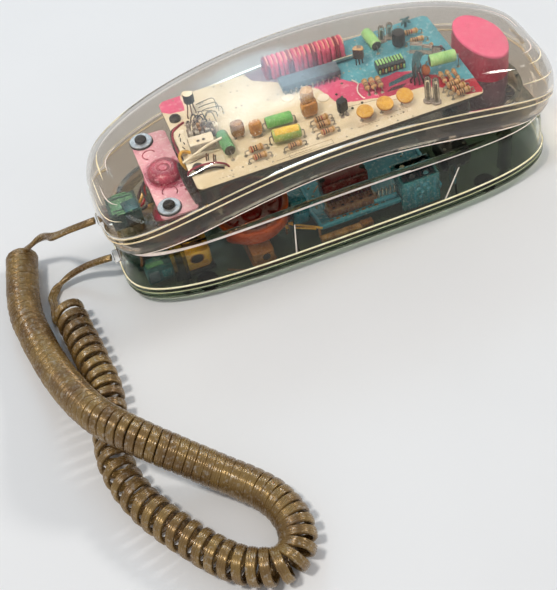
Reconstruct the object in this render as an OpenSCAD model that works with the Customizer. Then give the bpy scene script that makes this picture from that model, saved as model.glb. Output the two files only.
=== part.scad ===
// See-through telephone: a clear handset that lies across a clear base,
// with every board, coil and wire on show, and a curly cord between them.
// Millimetres, +Z up, X along the telephone, the cord end at -X.

/* [Handset] */
// Length of the handset over both shells
handset_l = 215; // [205:1:225]
// Width of the handset over both shells
handset_w = 70; // [68:0.5:76]
// Squareness of the handset outline
handset_sq = 4.3; // [3.6:0.1:5]
// Height of the handset seam above the table, at its ends
seam_z = 43.6; // [43:0.1:46]
// How much higher the seam is in the middle
seam_arch = 20.9; // [19:0.1:23]
// Height of the top shell above the seam
dome_h = 19.7; // [19:0.1:24]
// Squareness of the top shell's cross section
dome_sq = 5.2; // [4:0.1:6]
// Height of the face's lower edge above the table, at its ends
face_z = 31; // [30.8:0.1:32]
// How much higher the face is in the middle
face_arch = 16.7; // [15:0.1:17.5]
// Wall of all the clear shells
wall = 2.2; // [1.6:0.1:2.6]

/* [Base] */
// Length of the base at its bottom seam
base_l = 210; // [204:1:212]
// Width of the base at its bottom seam
base_w = 68.4; // [66:0.2:70]
// Squareness of the base outline
base_sq = 3.8; // [3.4:0.1:4.4]
// Height of the rubber feet
foot_h = 1.6; // [1:0.1:2]
// Height of the seam between tray and cradle
tray_z = 9; // [8:0.5:10]
// Height of the cradle's rim at its ends
rim_z = 30.6; // [30:0.1:31]
// How much higher the rim is in the middle
rim_arch = 5; // [3:0.1:6]
// Height of the deck that the handset's cups rest on
deck_z = 28.4; // [28:0.1:28.8]

/* [Ear and mouth cups] */
// Distance from each cup's centre to the handset's end
cup_end_gap = 30.5; // [29.5:0.5:33.5]
// Outer radius of each cup
cup_r = 20; // [18:0.5:21]
// Radius of one sound hole
sound_hole_r = 1; // [0.6:0.1:1.2]
// Radius of the pink receiver boot
boot_r = 13.2; // [11:0.1:13.4]
// Height of the receiver boot's top, at its centre
boot_top_z = 62.5; // [58:0.5:63]
// Lean of the receiver boot's top, in degrees
boot_lean = 20; // [0:1:21]

/* [Keypad] */
// Distance between keys along the handset
key_pitch_x = 13; // [12.5:0.1:13.5]
// Distance between keys across the handset
key_pitch_y = 14; // [13.5:0.1:14.5]
// Length of a key along the handset
key_l = 9.4; // [8:0.1:10]
// Width of a key across the handset
key_w = 10.6; // [9:0.1:11]
// Travel of a key
key_travel = 1.5; // [1:0.1:1.8]
// Height of the keypad plate's underside
plate_z = 46; // [45.8:0.1:46.4]

/* [Boards] */
// Distance from the main board's end to the handset's end
board_end_gap = 42.5; // [42:0.5:46]
// Distance from the main board's edge to the handset's side
board_side_gap = 4.5; // [4.5:0.5:7]
// Height of the main board's top face
board_z = 64.5; // [63:0.5:65]
// Thickness of the boards
board_t = 1.6; // [1.2:0.1:2]
// Length of the board in the base
base_board_l = 62; // [60:1:64]
// Distance from the base board's edge to the base's side
base_board_gap = 12; // [11.8:0.1:13]

/* [Ringer and transformer] */
// Radius of the ringer drum at its open top
drum_r = 18; // [15:0.5:18.5]
// Height of the ringer drum
drum_h = 13; // [10:0.5:14]
// Length of the line transformer
coil_l = 16; // [13:0.5:17]
// Width of the line transformer
coil_w = 17; // [14:0.5:17]

/* [Hook switch] */
// Radius of the hook plunger's cap
plunger_r = 3.5; // [3:0.1:4]
// Travel of the hook plunger
plunger_travel = 4; // [3:0.1:4]
// Radial clearance of sliding parts
slide_gap = 0.06; // [0.04:0.01:0.09]

/* [Cord] */
// Diameter of the flat four-strand cord
cord_d = 4.2; // [4.2:0.1:4.2]
// Outer diameter of the curly part
coil_d = 15.5; // [15.5:0.1:15.5]

/* [Hidden] */
eps = 0.01;
rest_gap = 0.3;
seam_gap = 0.15;
lip_h = 2.4;
lip_step = 0.5;

// the plan of every shell: a superellipse walked anticlockwise
side_steps = [for (i = [0:22]) 0.88 - 0.08 * i];
end_steps = [0.78, 0.64, 0.45, 0.23, 0, -0.23, -0.45, -0.64, -0.78];
function other(t, sq) = pow(1 - pow(abs(t), sq), 1 / sq);
function outline(sq) = concat(
    [for (s = side_steps) [s, other(s, sq)]],
    [for (t = end_steps) [-other(t, sq), t]],
    [for (s = side_steps) [-s, -other(s, sq)]],
    [for (t = end_steps) [other(t, sq), -t]]);
ring_n = 2 * (len(side_steps) + len(end_steps));
function mirrored(i) = (54 - i + ring_n) % ring_n;

// seam and rim rise towards the middle as parabolas, and the face is flatter at its ends
function bow(s, ends, rise) = ends + rise * (1 - s * s);
function seam_at(s) = bow(s, seam_z, seam_arch);
function face_at(s) = face_z + face_arch * pow(1 - min(1, s * s), 1.5);
function rim_at(s) = bow(s, rim_z, rim_arch);

// the keys
key_names = ["1", "2", "3", "4", "5", "6", "7", "8", "9", "star", "0", "hash"];
key_flange = 0.9;
plate_t = 3.4;
key_proud = 1.6;
key_gap = 0.35;
plate_top = plate_z + plate_t;
flange_z = plate_top + rest_gap;
stem_top = flange_z + key_flange + 1.2;
membrane_z = stem_top + key_travel + rest_gap;
membrane_t = 0.9;
key_board_z = membrane_z + membrane_t;
plate_l = 4 * key_pitch_x + 8;
plate_w = 3 * key_pitch_y + 5;
// studs of the membrane stand just clear of the end keys
stud_x = 1.5 * key_pitch_x + key_l / 2 + 1.9;

// where things stand in the handset
board_l = handset_l - 2 * board_end_gap;
board_w = handset_w - 2 * board_side_gap;
function bx(x) = x * board_l / 130;
function by(y) = y * board_w / 61;
board_bottom = board_z - board_t;
post_x = board_l / 2 - 7;
post_y = board_w / 2 - 6.5;
cup_x = handset_l / 2 - cup_end_gap;
strap_x = 2.7 - cup_x;
strap_y = -3.1;
strap_l = 53.4;
strap_w = 16.5;
strap_z = 54;
strap_t = 1.2;
// the strap's screws stand near its outer edge, and the boot comes up through it
screw_at = [for (y = [19, -24.6]) [-cup_x - 0.8, y]];
boot_at = [3.2 - cup_x, -4.2];
cup_floor = deck_z + rest_gap;
cup_wall = 2;

// where things stand in the base
tray_floor = foot_h + wall;
deck_under = deck_z - wall;
base_board_z = 8.4;
base_board_top = base_board_z + board_t;
base_board_x = 17;
base_board_w = base_w - 2 * base_board_gap;
drum_x = -41;
drum_y = -6.5;
drum_z = 11;
coil_x = 32.5 - base_l / 2;
coil_y = -8.6;
plunger_x = 62;
switch_top = 13.8;
jack_w = 12;
jack_h = 8.2;
jack_hole = [8.2, 6.8];
plug_size = [7.8, 6.4];
handset_jack_l = 14;
handset_jack_x = 5.1 - handset_l / 2;
handset_jack_z = 39;
base_jack_l = 14;
base_jack_x = 4 - base_l / 2;
base_jack_z = 14;
plug_stand = 3.3;
line_jack_x = -46;
line_jack_z = 16;
ringer_knob_x = 20;
foot_x = base_l / 2 - 25;
foot_y = 21;
rib_x = [-28.5, 50];

// the cord's route, chosen by hand
handset_lead_route = [
    [-109, 0, 39], [-114, 1, 37.9], [-121, 4.5, 34.4], [-129, 10.5, 28.2],
    [-136, 20.5, 20.5], [-141.6, 28, 12.2]];
base_lead_route = [
    [-107.7, 0, 14], [-113, 1.4, 13], [-120, 5, 9.2], [-128, 6.5, 5.6], [-135, 4.5, 3.2],
    [-139.2, -0.5, 2.4], [-139.4, -6, 2.8], [-137, -10.4, 4.6], [-134.6, -13.2, 6.8]];
coil_route = [
    [-147, 25.5, 7.9], [-149.5, 12, 7.9], [-151.5, -1, 7.9], [-152, -13, 7.9],
    [-150.5, -26, 7.9], [-148.5, -39, 8.6], [-145.5, -54, 11.5], [-141.5, -70, 16.5],
    [-137.5, -83, 21], [-132.5, -94.5, 24], [-125.5, -104, 24.2], [-117.5, -112, 21.5],
    [-108, -119.5, 16.5], [-98.5, -127, 11.5], [-90, -134.5, 8.6], [-83, -143, 7.9],
    [-79, -151.5, 7.9], [-77.5, -161, 7.9], [-80, -169.5, 7.9], [-86.5, -174, 7.9],
    [-94, -172.5, 7.9], [-102, -167.5, 7.9], [-109, -160, 7.9], [-115, -151.5, 7.9],
    [-120.5, -143, 7.9], [-125.5, -134, 7.9], [-129.5, -125, 7.9], [-132.5, -115, 7.9],
    [-133.8, -104, 7.9], [-132.5, -90, 7.9], [-129.8, -77, 7.9], [-129, -65, 7.9],
    [-130, -54, 7.9], [-131, -43, 7.9], [-132.5, -30, 7.9], [-134.2, -15.5, 7.9]];

// ---------- helpers ----------

// one ring of a shell: the plan drawn in by inset, at height z(s)
function ring(pts, l, w, inset, z) =
    [for (i = [0:len(pts) - 1])
        [pts[i][0] * (l / 2 - inset), pts[i][1] * (w / 2 - inset), z[i]]];

// a closed skin over a list of rings, zipped shut along its first and last ring
module skin(rings) {
    n = ring_n;
    last = (len(rings) - 1) * n;
    zip = [for (k = [0:31]) [(59 + k) % n, (60 + k) % n]];
    points = [for (r = rings) each r];
    walls = [for (k = [0:len(rings) - 2]) each [for (i = [0:n - 1])
        each let (a = k * n + i, b = k * n + (i + 1) % n)
            [[a, a + n, b + n], [a, b + n, b]]]];
    start = [for (z = zip) each let (a = z[0], b = z[1], c = mirrored(b), d = mirrored(a))
        concat(b == c ? [] : [[a, b, c]], a == d ? [] : [[a, c, d]])];
    end = [for (z = zip) each let (a = z[0], b = z[1], c = mirrored(b), d = mirrored(a))
        concat(b == c ? [] : [[last + c, last + b, last + a]],
               a == d ? [] : [[last + d, last + c, last + a]])];
    polyhedron(points = points, faces = concat(walls, start, end));
}

// a plate with rounded corners, exact
module plate(l, w, t, r) {
    linear_extrude(height = t) rounded(l, w, r);
}

module rounded(l, w, r) {
    square([l - 2 * r, w], center = true);
    square([l, w - 2 * r], center = true);
    for (x = [-1, 1], y = [-1, 1])
        translate([x * (l / 2 - r), y * (w / 2 - r)]) circle(r, $fn = 24);
}

module tube(r_out, r_in, h) {
    difference() {
        cylinder(r = r_out, h = h, $fn = 48);
        translate([0, 0, -1]) cylinder(r = r_in, h = h + 2, $fn = 48);
    }
}

// a part with a wire at each end, lying over the board on its two legs
module lying_part(x, y, turn, l, r, lift, legs) {
    translate([bx(x), by(y), board_z]) rotate([0, 0, turn]) {
        translate([-l / 2, 0, lift]) rotate([0, 90, 0]) cylinder(r = r, h = l, $fn = 24);
        for (side = [-1, 1]) {
            translate([side * legs, 0, 0]) cylinder(r = 0.4, h = lift + 0.3, $fn = 16);
            translate([side * (legs + l / 2) / 2, 0, lift]) rotate([0, 90, 0])
                cylinder(r = 0.4, h = abs(legs - l / 2) + 0.6, center = true, $fn = 16);
        }
    }
}

// a part standing on legs over the board
module standing_part(x, y, r, h, leg) {
    translate([bx(x), by(y), board_z]) {
        translate([0, 0, leg]) cylinder(r = r, h = h, $fn = 24);
        for (side = [-1, 1])
            translate([side * r * 0.5, 0, 0]) cylinder(r = 0.35, h = leg + 0.5, $fn = 16);
    }
}

// points between the hand-chosen ones of a route
function spline(a, b, c, d, t) =
    0.5 * ((2 * b) + (c - a) * t + (2 * a - 5 * b + 4 * c - d) * t * t
        + (3 * b - a - 3 * c + d) * t * t * t);
function smooth(route, steps) = concat(
    [for (i = [0:len(route) - 2], k = [0:steps - 1])
        spline(route[max(i - 1, 0)], route[i], route[i + 1],
               route[min(i + 2, len(route) - 1)], k / steps)],
    [route[len(route) - 1]]);
function unit(v) = v / norm(v);

// a round solid swept along points
module sweep(pts, d, sides) {
    last = len(pts) - 1;
    skin_of([for (i = [0:last])
        let (along = unit(pts[min(i + 1, last)] - pts[max(i - 1, 0)]),
             side = unit(cross(along, [0, 0, 1])),
             up = cross(side, along))
        [for (k = [0:sides - 1])
            pts[i] + d / 2 * (side * cos(360 * k / sides) + up * sin(360 * k / sides))]], 1);
}

// a solid through flat rings that are stacked upwards
module loft(rings) {
    skin_of(rings, -1);
}

// walls between equal rings and a flat end at each side; way 1 or -1 turns the faces out
module skin_of(rings, way) {
    n = len(rings[0]);
    last = len(rings) - 1;
    walls = [for (i = [0:last - 1], k = [0:n - 1])
        let (a = i * n + k, b = i * n + (k + 1) % n)
        each [[a, b, b + n], [a, b + n, a + n]]];
    ends = [[for (k = [n - 1:-1:0]) k], [for (k = [0:n - 1]) last * n + k]];
    faces = concat(walls, ends);
    polyhedron(points = [for (r = rings) each r],
        faces = way > 0 ? faces : [for (f = faces) [for (i = [len(f) - 1:-1:0]) f[i]]]);
}

// ---------- handset ----------

handset_plan = outline(handset_sq);
seam_line = [for (p = handset_plan) seam_at(p[0])];

// a dome ring: angle 0 is the seam and 90 the ridge
function dome_ring(angle, inset, base_lift) =
    let (rise = pow(sin(angle), 2 / dome_sq), draw = pow(cos(angle), 2 / dome_sq),
         slope = 0.9 + 0.1 * sqrt(max(0, 1 - rise * rise)))
    [for (p = handset_plan)
        [p[0] * (handset_l / 2 - inset) * slope,
         p[1] * (handset_w / 2 - inset) * draw,
         seam_at(p[0]) + base_lift + (dome_h - inset) * rise]];
dome_angles = [0, 4, 20, 38, 52, 64, 75, 83, 88];

module top_shell() {
    color([0.62, 0.60, 0.55, 0.5]) skin(concat(
        [for (k = [len(dome_angles) - 1:-1:0]) dome_ring(dome_angles[k], wall, seam_gap)],
        [for (a = dome_angles) dome_ring(a, 0, seam_gap)]));
}

// a face ring: depth 0 is the seam and 1 the bottom
function face_ring(inset, depth, lift) =
    [for (p = handset_plan)
        [p[0] * (handset_l / 2 - inset), p[1] * (handset_w / 2 - inset),
         seam_at(p[0]) + depth * (face_at(p[0]) - seam_at(p[0])) + lift]];

module face_shell() {
    color([0.58, 0.52, 0.46, 0.5]) difference() {
        union() {
            skin([face_ring(9, 1, 0), face_ring(5, 0.97, 0), face_ring(3, 0.86, 0),
                face_ring(1.6, 0.6, 0), face_ring(1, 0.2, 0), face_ring(0, 0.19, 0),
                face_ring(0, 0, 0), face_ring(wall, 0, 0), face_ring(wall + 1.8, 0.6, 0.4),
                face_ring(wall + 3.2, 0.86, 0.8), face_ring(wall + 7.5, 1, wall)]);
            for (side = [-1, 1]) cup(side);
            posts();
        }
        for (side = [-1, 1]) translate([side * cup_x, 0, cup_floor + cup_wall])
            cylinder(r = cup_r - cup_wall, h = 20, $fn = 64);
        translate([0, 0, plate_z - 6]) linear_extrude(height = 14)
            rounded(plate_l - 6, plate_w - 4, 3);
        translate([handset_jack_x - 6, 0, handset_jack_z])
            cube([13, jack_hole[0], jack_hole[1]], center = true);
        translate([handset_jack_x - rest_gap, -jack_w / 2 - rest_gap,
            handset_jack_z - jack_h / 2 - rest_gap])
            cube([handset_jack_l + 2 * rest_gap, jack_w + 2 * rest_gap, 20]);
    }
}

module cup(side) {
    translate([side * cup_x, 0, cup_floor]) difference() {
        cylinder(r = cup_r, h = 14, $fn = 64);
        translate([0, 0, -1]) sound_holes();
    }
}

module sound_holes() {
    cylinder(r = sound_hole_r, h = 6, $fn = 16);
    for (row = [1, 2], k = [0:6 * row - 1])
        rotate([0, 0, 60 * k / row]) translate([4.4 * row, 0, 0])
            cylinder(r = sound_hole_r, h = 6, $fn = 16);
}

module posts() {
    for (x = [-1, 1], y = [-1, 1])
        translate([x * post_x, y * post_y, face_at(post_x * 2 / handset_l) + 1])
            cylinder(r = 2.8, h = board_bottom - face_at(post_x * 2 / handset_l) - 1, $fn = 24);
    for (at = screw_at)
        translate([at[0], at[1], face_at(at[0] * 2 / handset_l) + 1])
            cylinder(r = 3.6, h = strap_z - face_at(at[0] * 2 / handset_l) - 1, $fn = 24);
}

module keypad_plate() {
    color([0.16, 0.16, 0.17]) difference() {
        translate([0, 0, plate_z]) plate(plate_l - 6.6, plate_w - 4.6, plate_t, 2.6);
        for (k = [0:11]) translate([key_at(k)[0], key_at(k)[1], plate_z - 1])
            plate(key_l + 2 * key_gap, key_w + 2 * key_gap, plate_t + 2, 1.8);
    }
}

function key_at(k) =
    [(1.5 - floor(k / 3)) * key_pitch_x, (k % 3 - 1) * key_pitch_y];

module key(k) {
    color([0.86, 0.84, 0.78]) translate([key_at(k)[0], key_at(k)[1], 0]) {
        translate([0, 0, plate_z - key_proud]) plate(key_l, key_w, plate_t + key_proud + 0.5, 1.5);
        translate([0, 0, flange_z]) plate(key_l + 2.2, key_w + 2.2, key_flange, 1.5);
        translate([0, 0, flange_z + 0.3]) cylinder(r = 2, h = stem_top - flange_z - 0.3, $fn = 24);
    }
}

module key_membrane() {
    color([0.75, 0.74, 0.70]) {
        translate([0, 0, membrane_z]) plate(2 * stud_x + 1, plate_w - 6, membrane_t, 2);
        for (x = [-1, 1], y = [-1, 1])
            translate([x * stud_x, y * key_pitch_y / 2, plate_top])
                cylinder(r = 0.5, h = membrane_z - plate_top, $fn = 16);
    }
}

module keypad_board() {
    color([0.25, 0.42, 0.30])
        translate([0, 0, key_board_z]) plate(plate_l - 4, plate_w - 2, board_t, 2);
}

module main_board() {
    color([0.86, 0.80, 0.66]) {
        difference() {
            translate([0, 0, board_bottom]) plate(board_l, board_w, board_t, 2.5);
            for (x = [-1, 1], y = [-1, 1]) translate([x * post_x, y * post_y, board_bottom - 1])
                cylinder(r = 1.2, h = board_t + 2, $fn = 24);
        }
        // solder side: pins that stand on the keypad board
        for (x = [-26:4:26]) translate([x, -plate_w / 2 + 4, key_board_z + board_t])
            cylinder(r = 0.4, h = board_bottom - key_board_z - board_t, $fn = 16);
    }
}

// rows of resistors: x, y, turn, then how many, and the step to the next
resistor_rows = [
    [-35.6, -20, 2, 2, 0, -4.9], [-20, -25.2, 2, 1, 0, 0], [-4.4, -15.6, 3, 2, -0.4, -3.6],
    [-4.6, -23.8, 2, 1, 0, 0], [20.8, -5, 84, 3, 2.9, -0.5], [52, -16.2, 86, 3, 2.9, -0.4],
    [54.6, -21.6, 5, 3, 0.8, -3], [53, 19, -6, 2, 0, -6.4]];

module resistors() {
    color([0.76, 0.62, 0.42])
        for (r = resistor_rows, k = [0:r[3] - 1])
            lying_part(r[0] + k * r[4], r[1] + k * r[5], r[2], 6.5, r[0] == 52 ? 1 : 1.3, 2.2,
                r[2] > 80 ? 4.2 : 5);
}

module green_capacitors() {
    color([0.42, 0.68, 0.36]) {
        lying_part(-46.4, -13, 91, 11.5, 2.7, 3.6, 6.9);
        lying_part(-21.4, -9.8, -4, 12, 2.5, 3.4, 7.2);
        lying_part(-21.4, -19.4, -7, 12.6, 2.7, 3.8, 7.5);
        lying_part(55, -9.8, -8, 12, 2.6, 6.4, 7.2);
        lying_part(34.6, 21.6, 92, 12, 2.6, 3.4, 7.2);
    }
}

module disc_capacitors() {
    color([0.86, 0.66, 0.22])
        for (k = [0:2]) translate([bx(13.2 + 9.5 * k), by(-22 + 0.6 * k), board_z])
            rotate([0, 0, 8]) {
                translate([0, 0, 3.6]) rotate([62, 0, 0])
                    cylinder(r = 3.4, h = 2, center = true, $fn = 32);
                for (x = [-1, 1]) translate([x * 2, 0, 0]) cylinder(r = 0.35, h = 3, $fn = 16);
            }
}

// a dipped block on two legs, x, y, turn, length, width, height and leg
module block_part(x, y, turn, l, w, h, leg) {
    translate([bx(x), by(y), board_z]) rotate([0, 0, turn]) {
        translate([0, 0, leg]) plate(l, w, h, w * 0.3);
        for (side = [-1, 1]) translate([side * l * 0.3, 0, 0])
            cylinder(r = 0.35, h = leg + 0.5, $fn = 16);
    }
}

module film_capacitors() {
    color([0.66, 0.42, 0.16]) {
        block_part(-39.4, -8.4, 2, 6, 4.4, 7, 1.2);
        block_part(-32.2, -11.2, 2, 5.6, 4.2, 6.6, 1.2);
        block_part(-7.6, -10.8, 3, 6.6, 3.8, 6.4, 1);
        block_part(-6.6, -6.6, 3, 4.8, 3.6, 10.4, 2);
    }
}

module transistors() {
    color([0.10, 0.09, 0.09]) {
        for (p = [[5.8, -15, 2], [24.7, 12.2, 3.4], [-52.8, 17.6, 5.4], [46.4, -5, 2.4]])
            translate([bx(p[0]), by(p[1]), board_z]) {
                translate([0, 0, p[2]]) cylinder(r = 2.3, h = 4.6, $fn = 32);
                for (x = [-1.3, 0, 1.3]) translate([x, 0, 0])
                    cylinder(r = 0.35, h = p[2] + 0.5, $fn = 16);
            }
        standing_part(45.2, 15, 2.9, 6.5, 1.2);
        standing_part(-61, 15.6, 2.4, 1.6, 0.6);
        standing_part(-60, -18.8, 2.6, 1.4, 0.6);
    }
}

module dialler_chips() {
    color([0.30, 0.33, 0.36]) {
        translate([bx(0.6), by(11), board_z]) rotate([0, 0, -3]) {
            translate([0, 0, 1.2]) plate(27, 7.4, 3.4, 0.6);
            for (k = [0:10], y = [-1, 1])
                translate([-12.5 + 2.5 * k, y * 3.8, 0]) cylinder(r = 0.4, h = 3, $fn = 16);
        }
        translate([bx(35.4), by(2.2), board_z]) rotate([0, 0, -4]) {
            translate([0, 0, 0.6]) plate(12.6, 6, 3.8, 0.6);
            for (k = [0:4], y = [-1, 1])
                translate([-5 + 2.5 * k, y * 2.6, 0]) cylinder(r = 0.4, h = 2, $fn = 16);
        }
    }
}

module ribbon_cable() {
    color([0.90, 0.45, 0.55])
        translate([bx(2.8), by(24.8), board_z]) rotate([0, 0, -3]) for (k = [0:16])
            translate([2.2 * k - 17.6, 0, 0]) {
            translate([0, 0, 3.6]) rotate([90, 0, 90]) rotate_extrude(angle = 180, $fn = 32)
                translate([4.2, 0]) circle(r = 1, $fn = 16);
            for (y = [-1, 1]) translate([0, y * 4.2, 0]) cylinder(r = 1, h = 3.6, $fn = 16);
        }
}

module tone_switch() {
    color([0.72, 0.70, 0.64]) {
        translate([bx(-56), by(-4.6), board_z]) {
            plate(13.4, 16.6, 2.4, 0.8);
            translate([2, 2.4, 2.4]) plate(8.4, 9.6, 5, 0.8);
            translate([2, 2.4, 7.4]) plate(2.6, 4, 1.6, 0.5);
        }
    }
}

module receiver_capsule() {
    color([0.24, 0.23, 0.24]) translate([cup_x, 0, cup_floor + cup_wall]) {
        cylinder(r = cup_r - cup_wall - 0.8, h = 5, $fn = 64);
        translate([0, 0, 5]) cylinder(r = boot_r - 2, h = 4, $fn = 64);
    }
}

// the boot leans over towards the handset's end as it rises:
// along, across, height, radius and lean of each of its rings
module receiver_boot() {
    low = cup_floor + cup_wall + 5;
    tall = boot_top_z - low;
    rings = [[0, 0, 0, -0.8, 0], [0, 0, 5, -0.8, 0], [0.9, 1, 0.45 * tall, -0.5, 0.35],
        [2, 2.4, 0.8 * tall, -0.1, 0.8], [2.4, 2.9, tall - 1.4, 0, 1], [2.5, 3, tall, -0.9, 1]];
    color([0.88, 0.35, 0.50]) translate([cup_x, 0, low]) difference() {
        loft([for (r = rings) let (lean = boot_lean * r[4], size = boot_r + r[3])
            [for (k = [0:47]) let (c = size * cos(7.5 * k))
                [r[0] + c * cos(lean), r[1] + size * sin(7.5 * k), r[2] - c * sin(lean)]]]);
        translate([0, 0, -1]) cylinder(r = boot_r - 2, h = 5, $fn = 64);
    }
}

module microphone_boot() {
    color([0.62, 0.14, 0.22]) translate([boot_at[0], boot_at[1], cup_floor + cup_wall]) {
        rotate_extrude($fn = 64) polygon([[0, 0], [10, 0], [10.4, 4], [8.2, 9], [7.6, 20],
            [9.4, 21.5], [9.4, strap_z - cup_floor - cup_wall],
            [7.4, strap_z - cup_floor - cup_wall], [7.4, 26.5], [5.6, 28], [2.4, 28.2],
            [2.2, 27.4], [0, 27.2]]);
    }
}

module strap_bracket() {
    color([0.93, 0.66, 0.70]) difference() {
        translate([strap_x, strap_y, strap_z]) plate(strap_w, strap_l, strap_t, 2.5);
        translate([boot_at[0], boot_at[1], strap_z - 1]) cylinder(r = 7.5, h = 4, $fn = 48);
        for (at = screw_at) translate([at[0], at[1], strap_z - 1])
            cylinder(r = 1.6, h = 4, $fn = 24);
    }
}

module strap_washers() {
    color([0.72, 0.72, 0.74])
        for (at = screw_at) translate([at[0], at[1], strap_z + strap_t]) tube(4.9, 1.6, 1.4);
}

module strap_screws() {
    color([0.07, 0.07, 0.08])
        for (at = screw_at) translate([at[0], at[1], 0]) difference() {
            union() {
                translate([0, 0, strap_z + strap_t + 1.4]) cylinder(r = 2.9, h = 1.6, $fn = 32);
                translate([0, 0, strap_z]) cylinder(r = 1.5, h = strap_t + 1.5, $fn = 24);
            }
            for (turn = [0, 90]) translate([0, 0, strap_z + strap_t + 2.7])
                rotate([0, 0, turn]) cube([3.6, 0.7, 1.4], center = true);
        }
}

// a modular jack that opens to -X
module jack(x, z, l) {
    translate([x, -jack_w / 2, z - jack_h / 2]) difference() {
        cube([l, jack_w, jack_h]);
        translate([-1, (jack_w - jack_hole[0]) / 2, (jack_h - jack_hole[1]) / 2])
            cube([l - 1, jack_hole[0], jack_hole[1]]);
    }
}

// a modular plug that sits in a jack, with its tail outside
module plug(x, z, l) {
    translate([x - plug_stand, 0, z]) {
        translate([0, -plug_size[0] / 2, -plug_size[1] / 2])
            cube([l + plug_stand - 2.4, plug_size[0], plug_size[1]]);
        translate([-2.5, 0, 0]) rotate([0, 90, 0]) cylinder(r = 3, h = 2.5, $fn = 24);
    }
}

module handset_jack() {
    color([0.12, 0.30, 0.28]) jack(handset_jack_x, handset_jack_z, handset_jack_l);
}

module handset_wires() {
    color([0.45, 0.28, 0.16])
        for (y = [-3, -1, 1, 3]) sweep(smooth([[handset_jack_x + handset_jack_l + 0.55, y, handset_jack_z + 1],
            [handset_jack_x + 17.6, y * 1.6 + 1.5, handset_jack_z + 3.5],
            [-cup_x - 3 + y, 9 + y, 45], [11.5 - cup_x, 9 + y, 50], [bx(-60) - 0.4 * y, 8 + y, 58],
            [bx(-58), 6 + 1.2 * y, board_bottom - 0.8]], 2), 1.1, 6);
}

// ---------- base ----------

base_plan = outline(base_sq);
function level(z) = [for (p = base_plan) z];
function rim_line(drop) = [for (p = base_plan) rim_at(p[0]) - drop];
function base_ring(inset, z) = ring(base_plan, base_l, base_w, inset, z);

module cradle_shell() {
    color([0.50, 0.52, 0.46, 0.5]) difference() {
        union() {
            skin([base_ring(13, level(deck_under)), base_ring(7.2, level(deck_under)),
                base_ring(4.6, level(deck_under - 1.4)), base_ring(wall + 0.5, level(tray_z + 2)),
                base_ring(wall, level(tray_z)), base_ring(0, level(tray_z)),
                base_ring(0, level(tray_z + lip_h)),
                base_ring(lip_step, level(tray_z + lip_h)),
                base_ring(1.7, rim_line(3.4)), base_ring(2.1, rim_line(1.6)),
                base_ring(3.1, rim_line(0.5)), base_ring(4.6, rim_line(0)),
                base_ring(5.8, rim_line(0.3)), base_ring(6.8, rim_line(1.2)),
                base_ring(8.4, level(deck_z)), base_ring(13, level(deck_z))]);
            for (x = rib_x, y = [-1, 1])
                translate([x, y * (base_w / 2 - 4.4), (tray_z + deck_under) / 2])
                    cube([2.4, 4.6, deck_under - tray_z], center = true);
            translate([plunger_x, 0, deck_under - 1.4]) tube(plunger_r + 2.4, plunger_r, 2);
        }
        translate([plunger_x, 0, deck_under - 3])
            cylinder(r = plunger_r + slide_gap, h = 8, $fn = 48);
        translate([base_jack_x - 6, 0, base_jack_z])
            cube([13, jack_hole[0], jack_hole[1]], center = true);
        translate([line_jack_x, base_w / 2, line_jack_z])
            cube([jack_hole[0], 14, jack_hole[1]], center = true);
        translate([ringer_knob_x, base_w / 2, line_jack_z]) cube([13, 14, 4.6], center = true);
    }
}

module base_tray() {
    z = foot_h;
    color([0.40, 0.43, 0.37, 0.5]) difference() {
        union() {
            skin([base_ring(7, level(z)), base_ring(3.4, level(z + 0.3)),
                base_ring(1.5, level(z + 1.6)), base_ring(lip_step, level(z + 4)),
                base_ring(lip_step, level(tray_z - lip_h)), base_ring(0, level(tray_z - lip_h)),
                base_ring(0, level(tray_z - seam_gap)), base_ring(wall, level(tray_z - seam_gap)),
                base_ring(wall + 0.8, level(z + 3.4)), base_ring(wall + 3, level(tray_floor))]);
            for (x = [-1, 1], y = [-1, 1]) {
                translate([base_board_x + x * (base_board_l / 2 - 4),
                    y * (base_board_w / 2 - 4), tray_floor - 0.5])
                    cylinder(r = 2.6, h = base_board_z - tray_floor + 0.5, $fn = 24);
                translate([x * foot_x, y * foot_y, tray_floor - 0.5])
                    tube(3.4, 1.5, deck_under - tray_floor + 0.4);
            }
        }
        for (x = [-1, 1], y = [-1, 1]) translate([x * foot_x, y * foot_y, foot_h - 1])
            cylinder(r = 1.5, h = 6, $fn = 24);
    }
}

module base_board() {
    color([0.20, 0.50, 0.58]) difference() {
        translate([base_board_x, 0, base_board_z])
            plate(base_board_l, base_board_w, board_t, 2);
        for (x = [-1, 1], y = [-1, 1])
            translate([base_board_x + x * (base_board_l / 2 - 4),
                y * (base_board_w / 2 - 4), base_board_z - 1])
                cylinder(r = 1.2, h = board_t + 2, $fn = 24);
    }
}

module coil_bank() {
    // a winding block with a row of bores, and a strip with a comb of pins at its end
    color([0.60, 0.36, 0.20])
        translate([4.5, 8.7 - base_board_w / 2, base_board_top]) {
            difference() {
                plate(25, 9.4, 5, 1);
                for (x = [-9:6:9]) translate([x, -1, 3.6]) cylinder(r = 2, h = 4, $fn = 24);
            }
            translate([15.8, -3.4, 0]) plate(11.4, 5, 3, 0.8);
            for (x = [12.6:2:20.6]) translate([x, -4.2, 2.5]) cylinder(r = 0.5, h = 6, $fn = 16);
        }
}

module blue_relays() {
    color([0.14, 0.45, 0.52]) {
        // the big one hooks down over the board's front edge, the small one stands on the floor
        translate([36, 4 - base_board_w / 2, base_board_top]) plate(19, 13.6, 12, 1.5);
        translate([36, -1.5 - base_board_w / 2, tray_floor + 0.4])
            plate(19, 2.4, base_board_top - tray_floor + 0.6, 0.6);
        translate([-18.4, -1.5, tray_floor]) plate(8, 13, 12.2, 1.2);
    }
}

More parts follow.
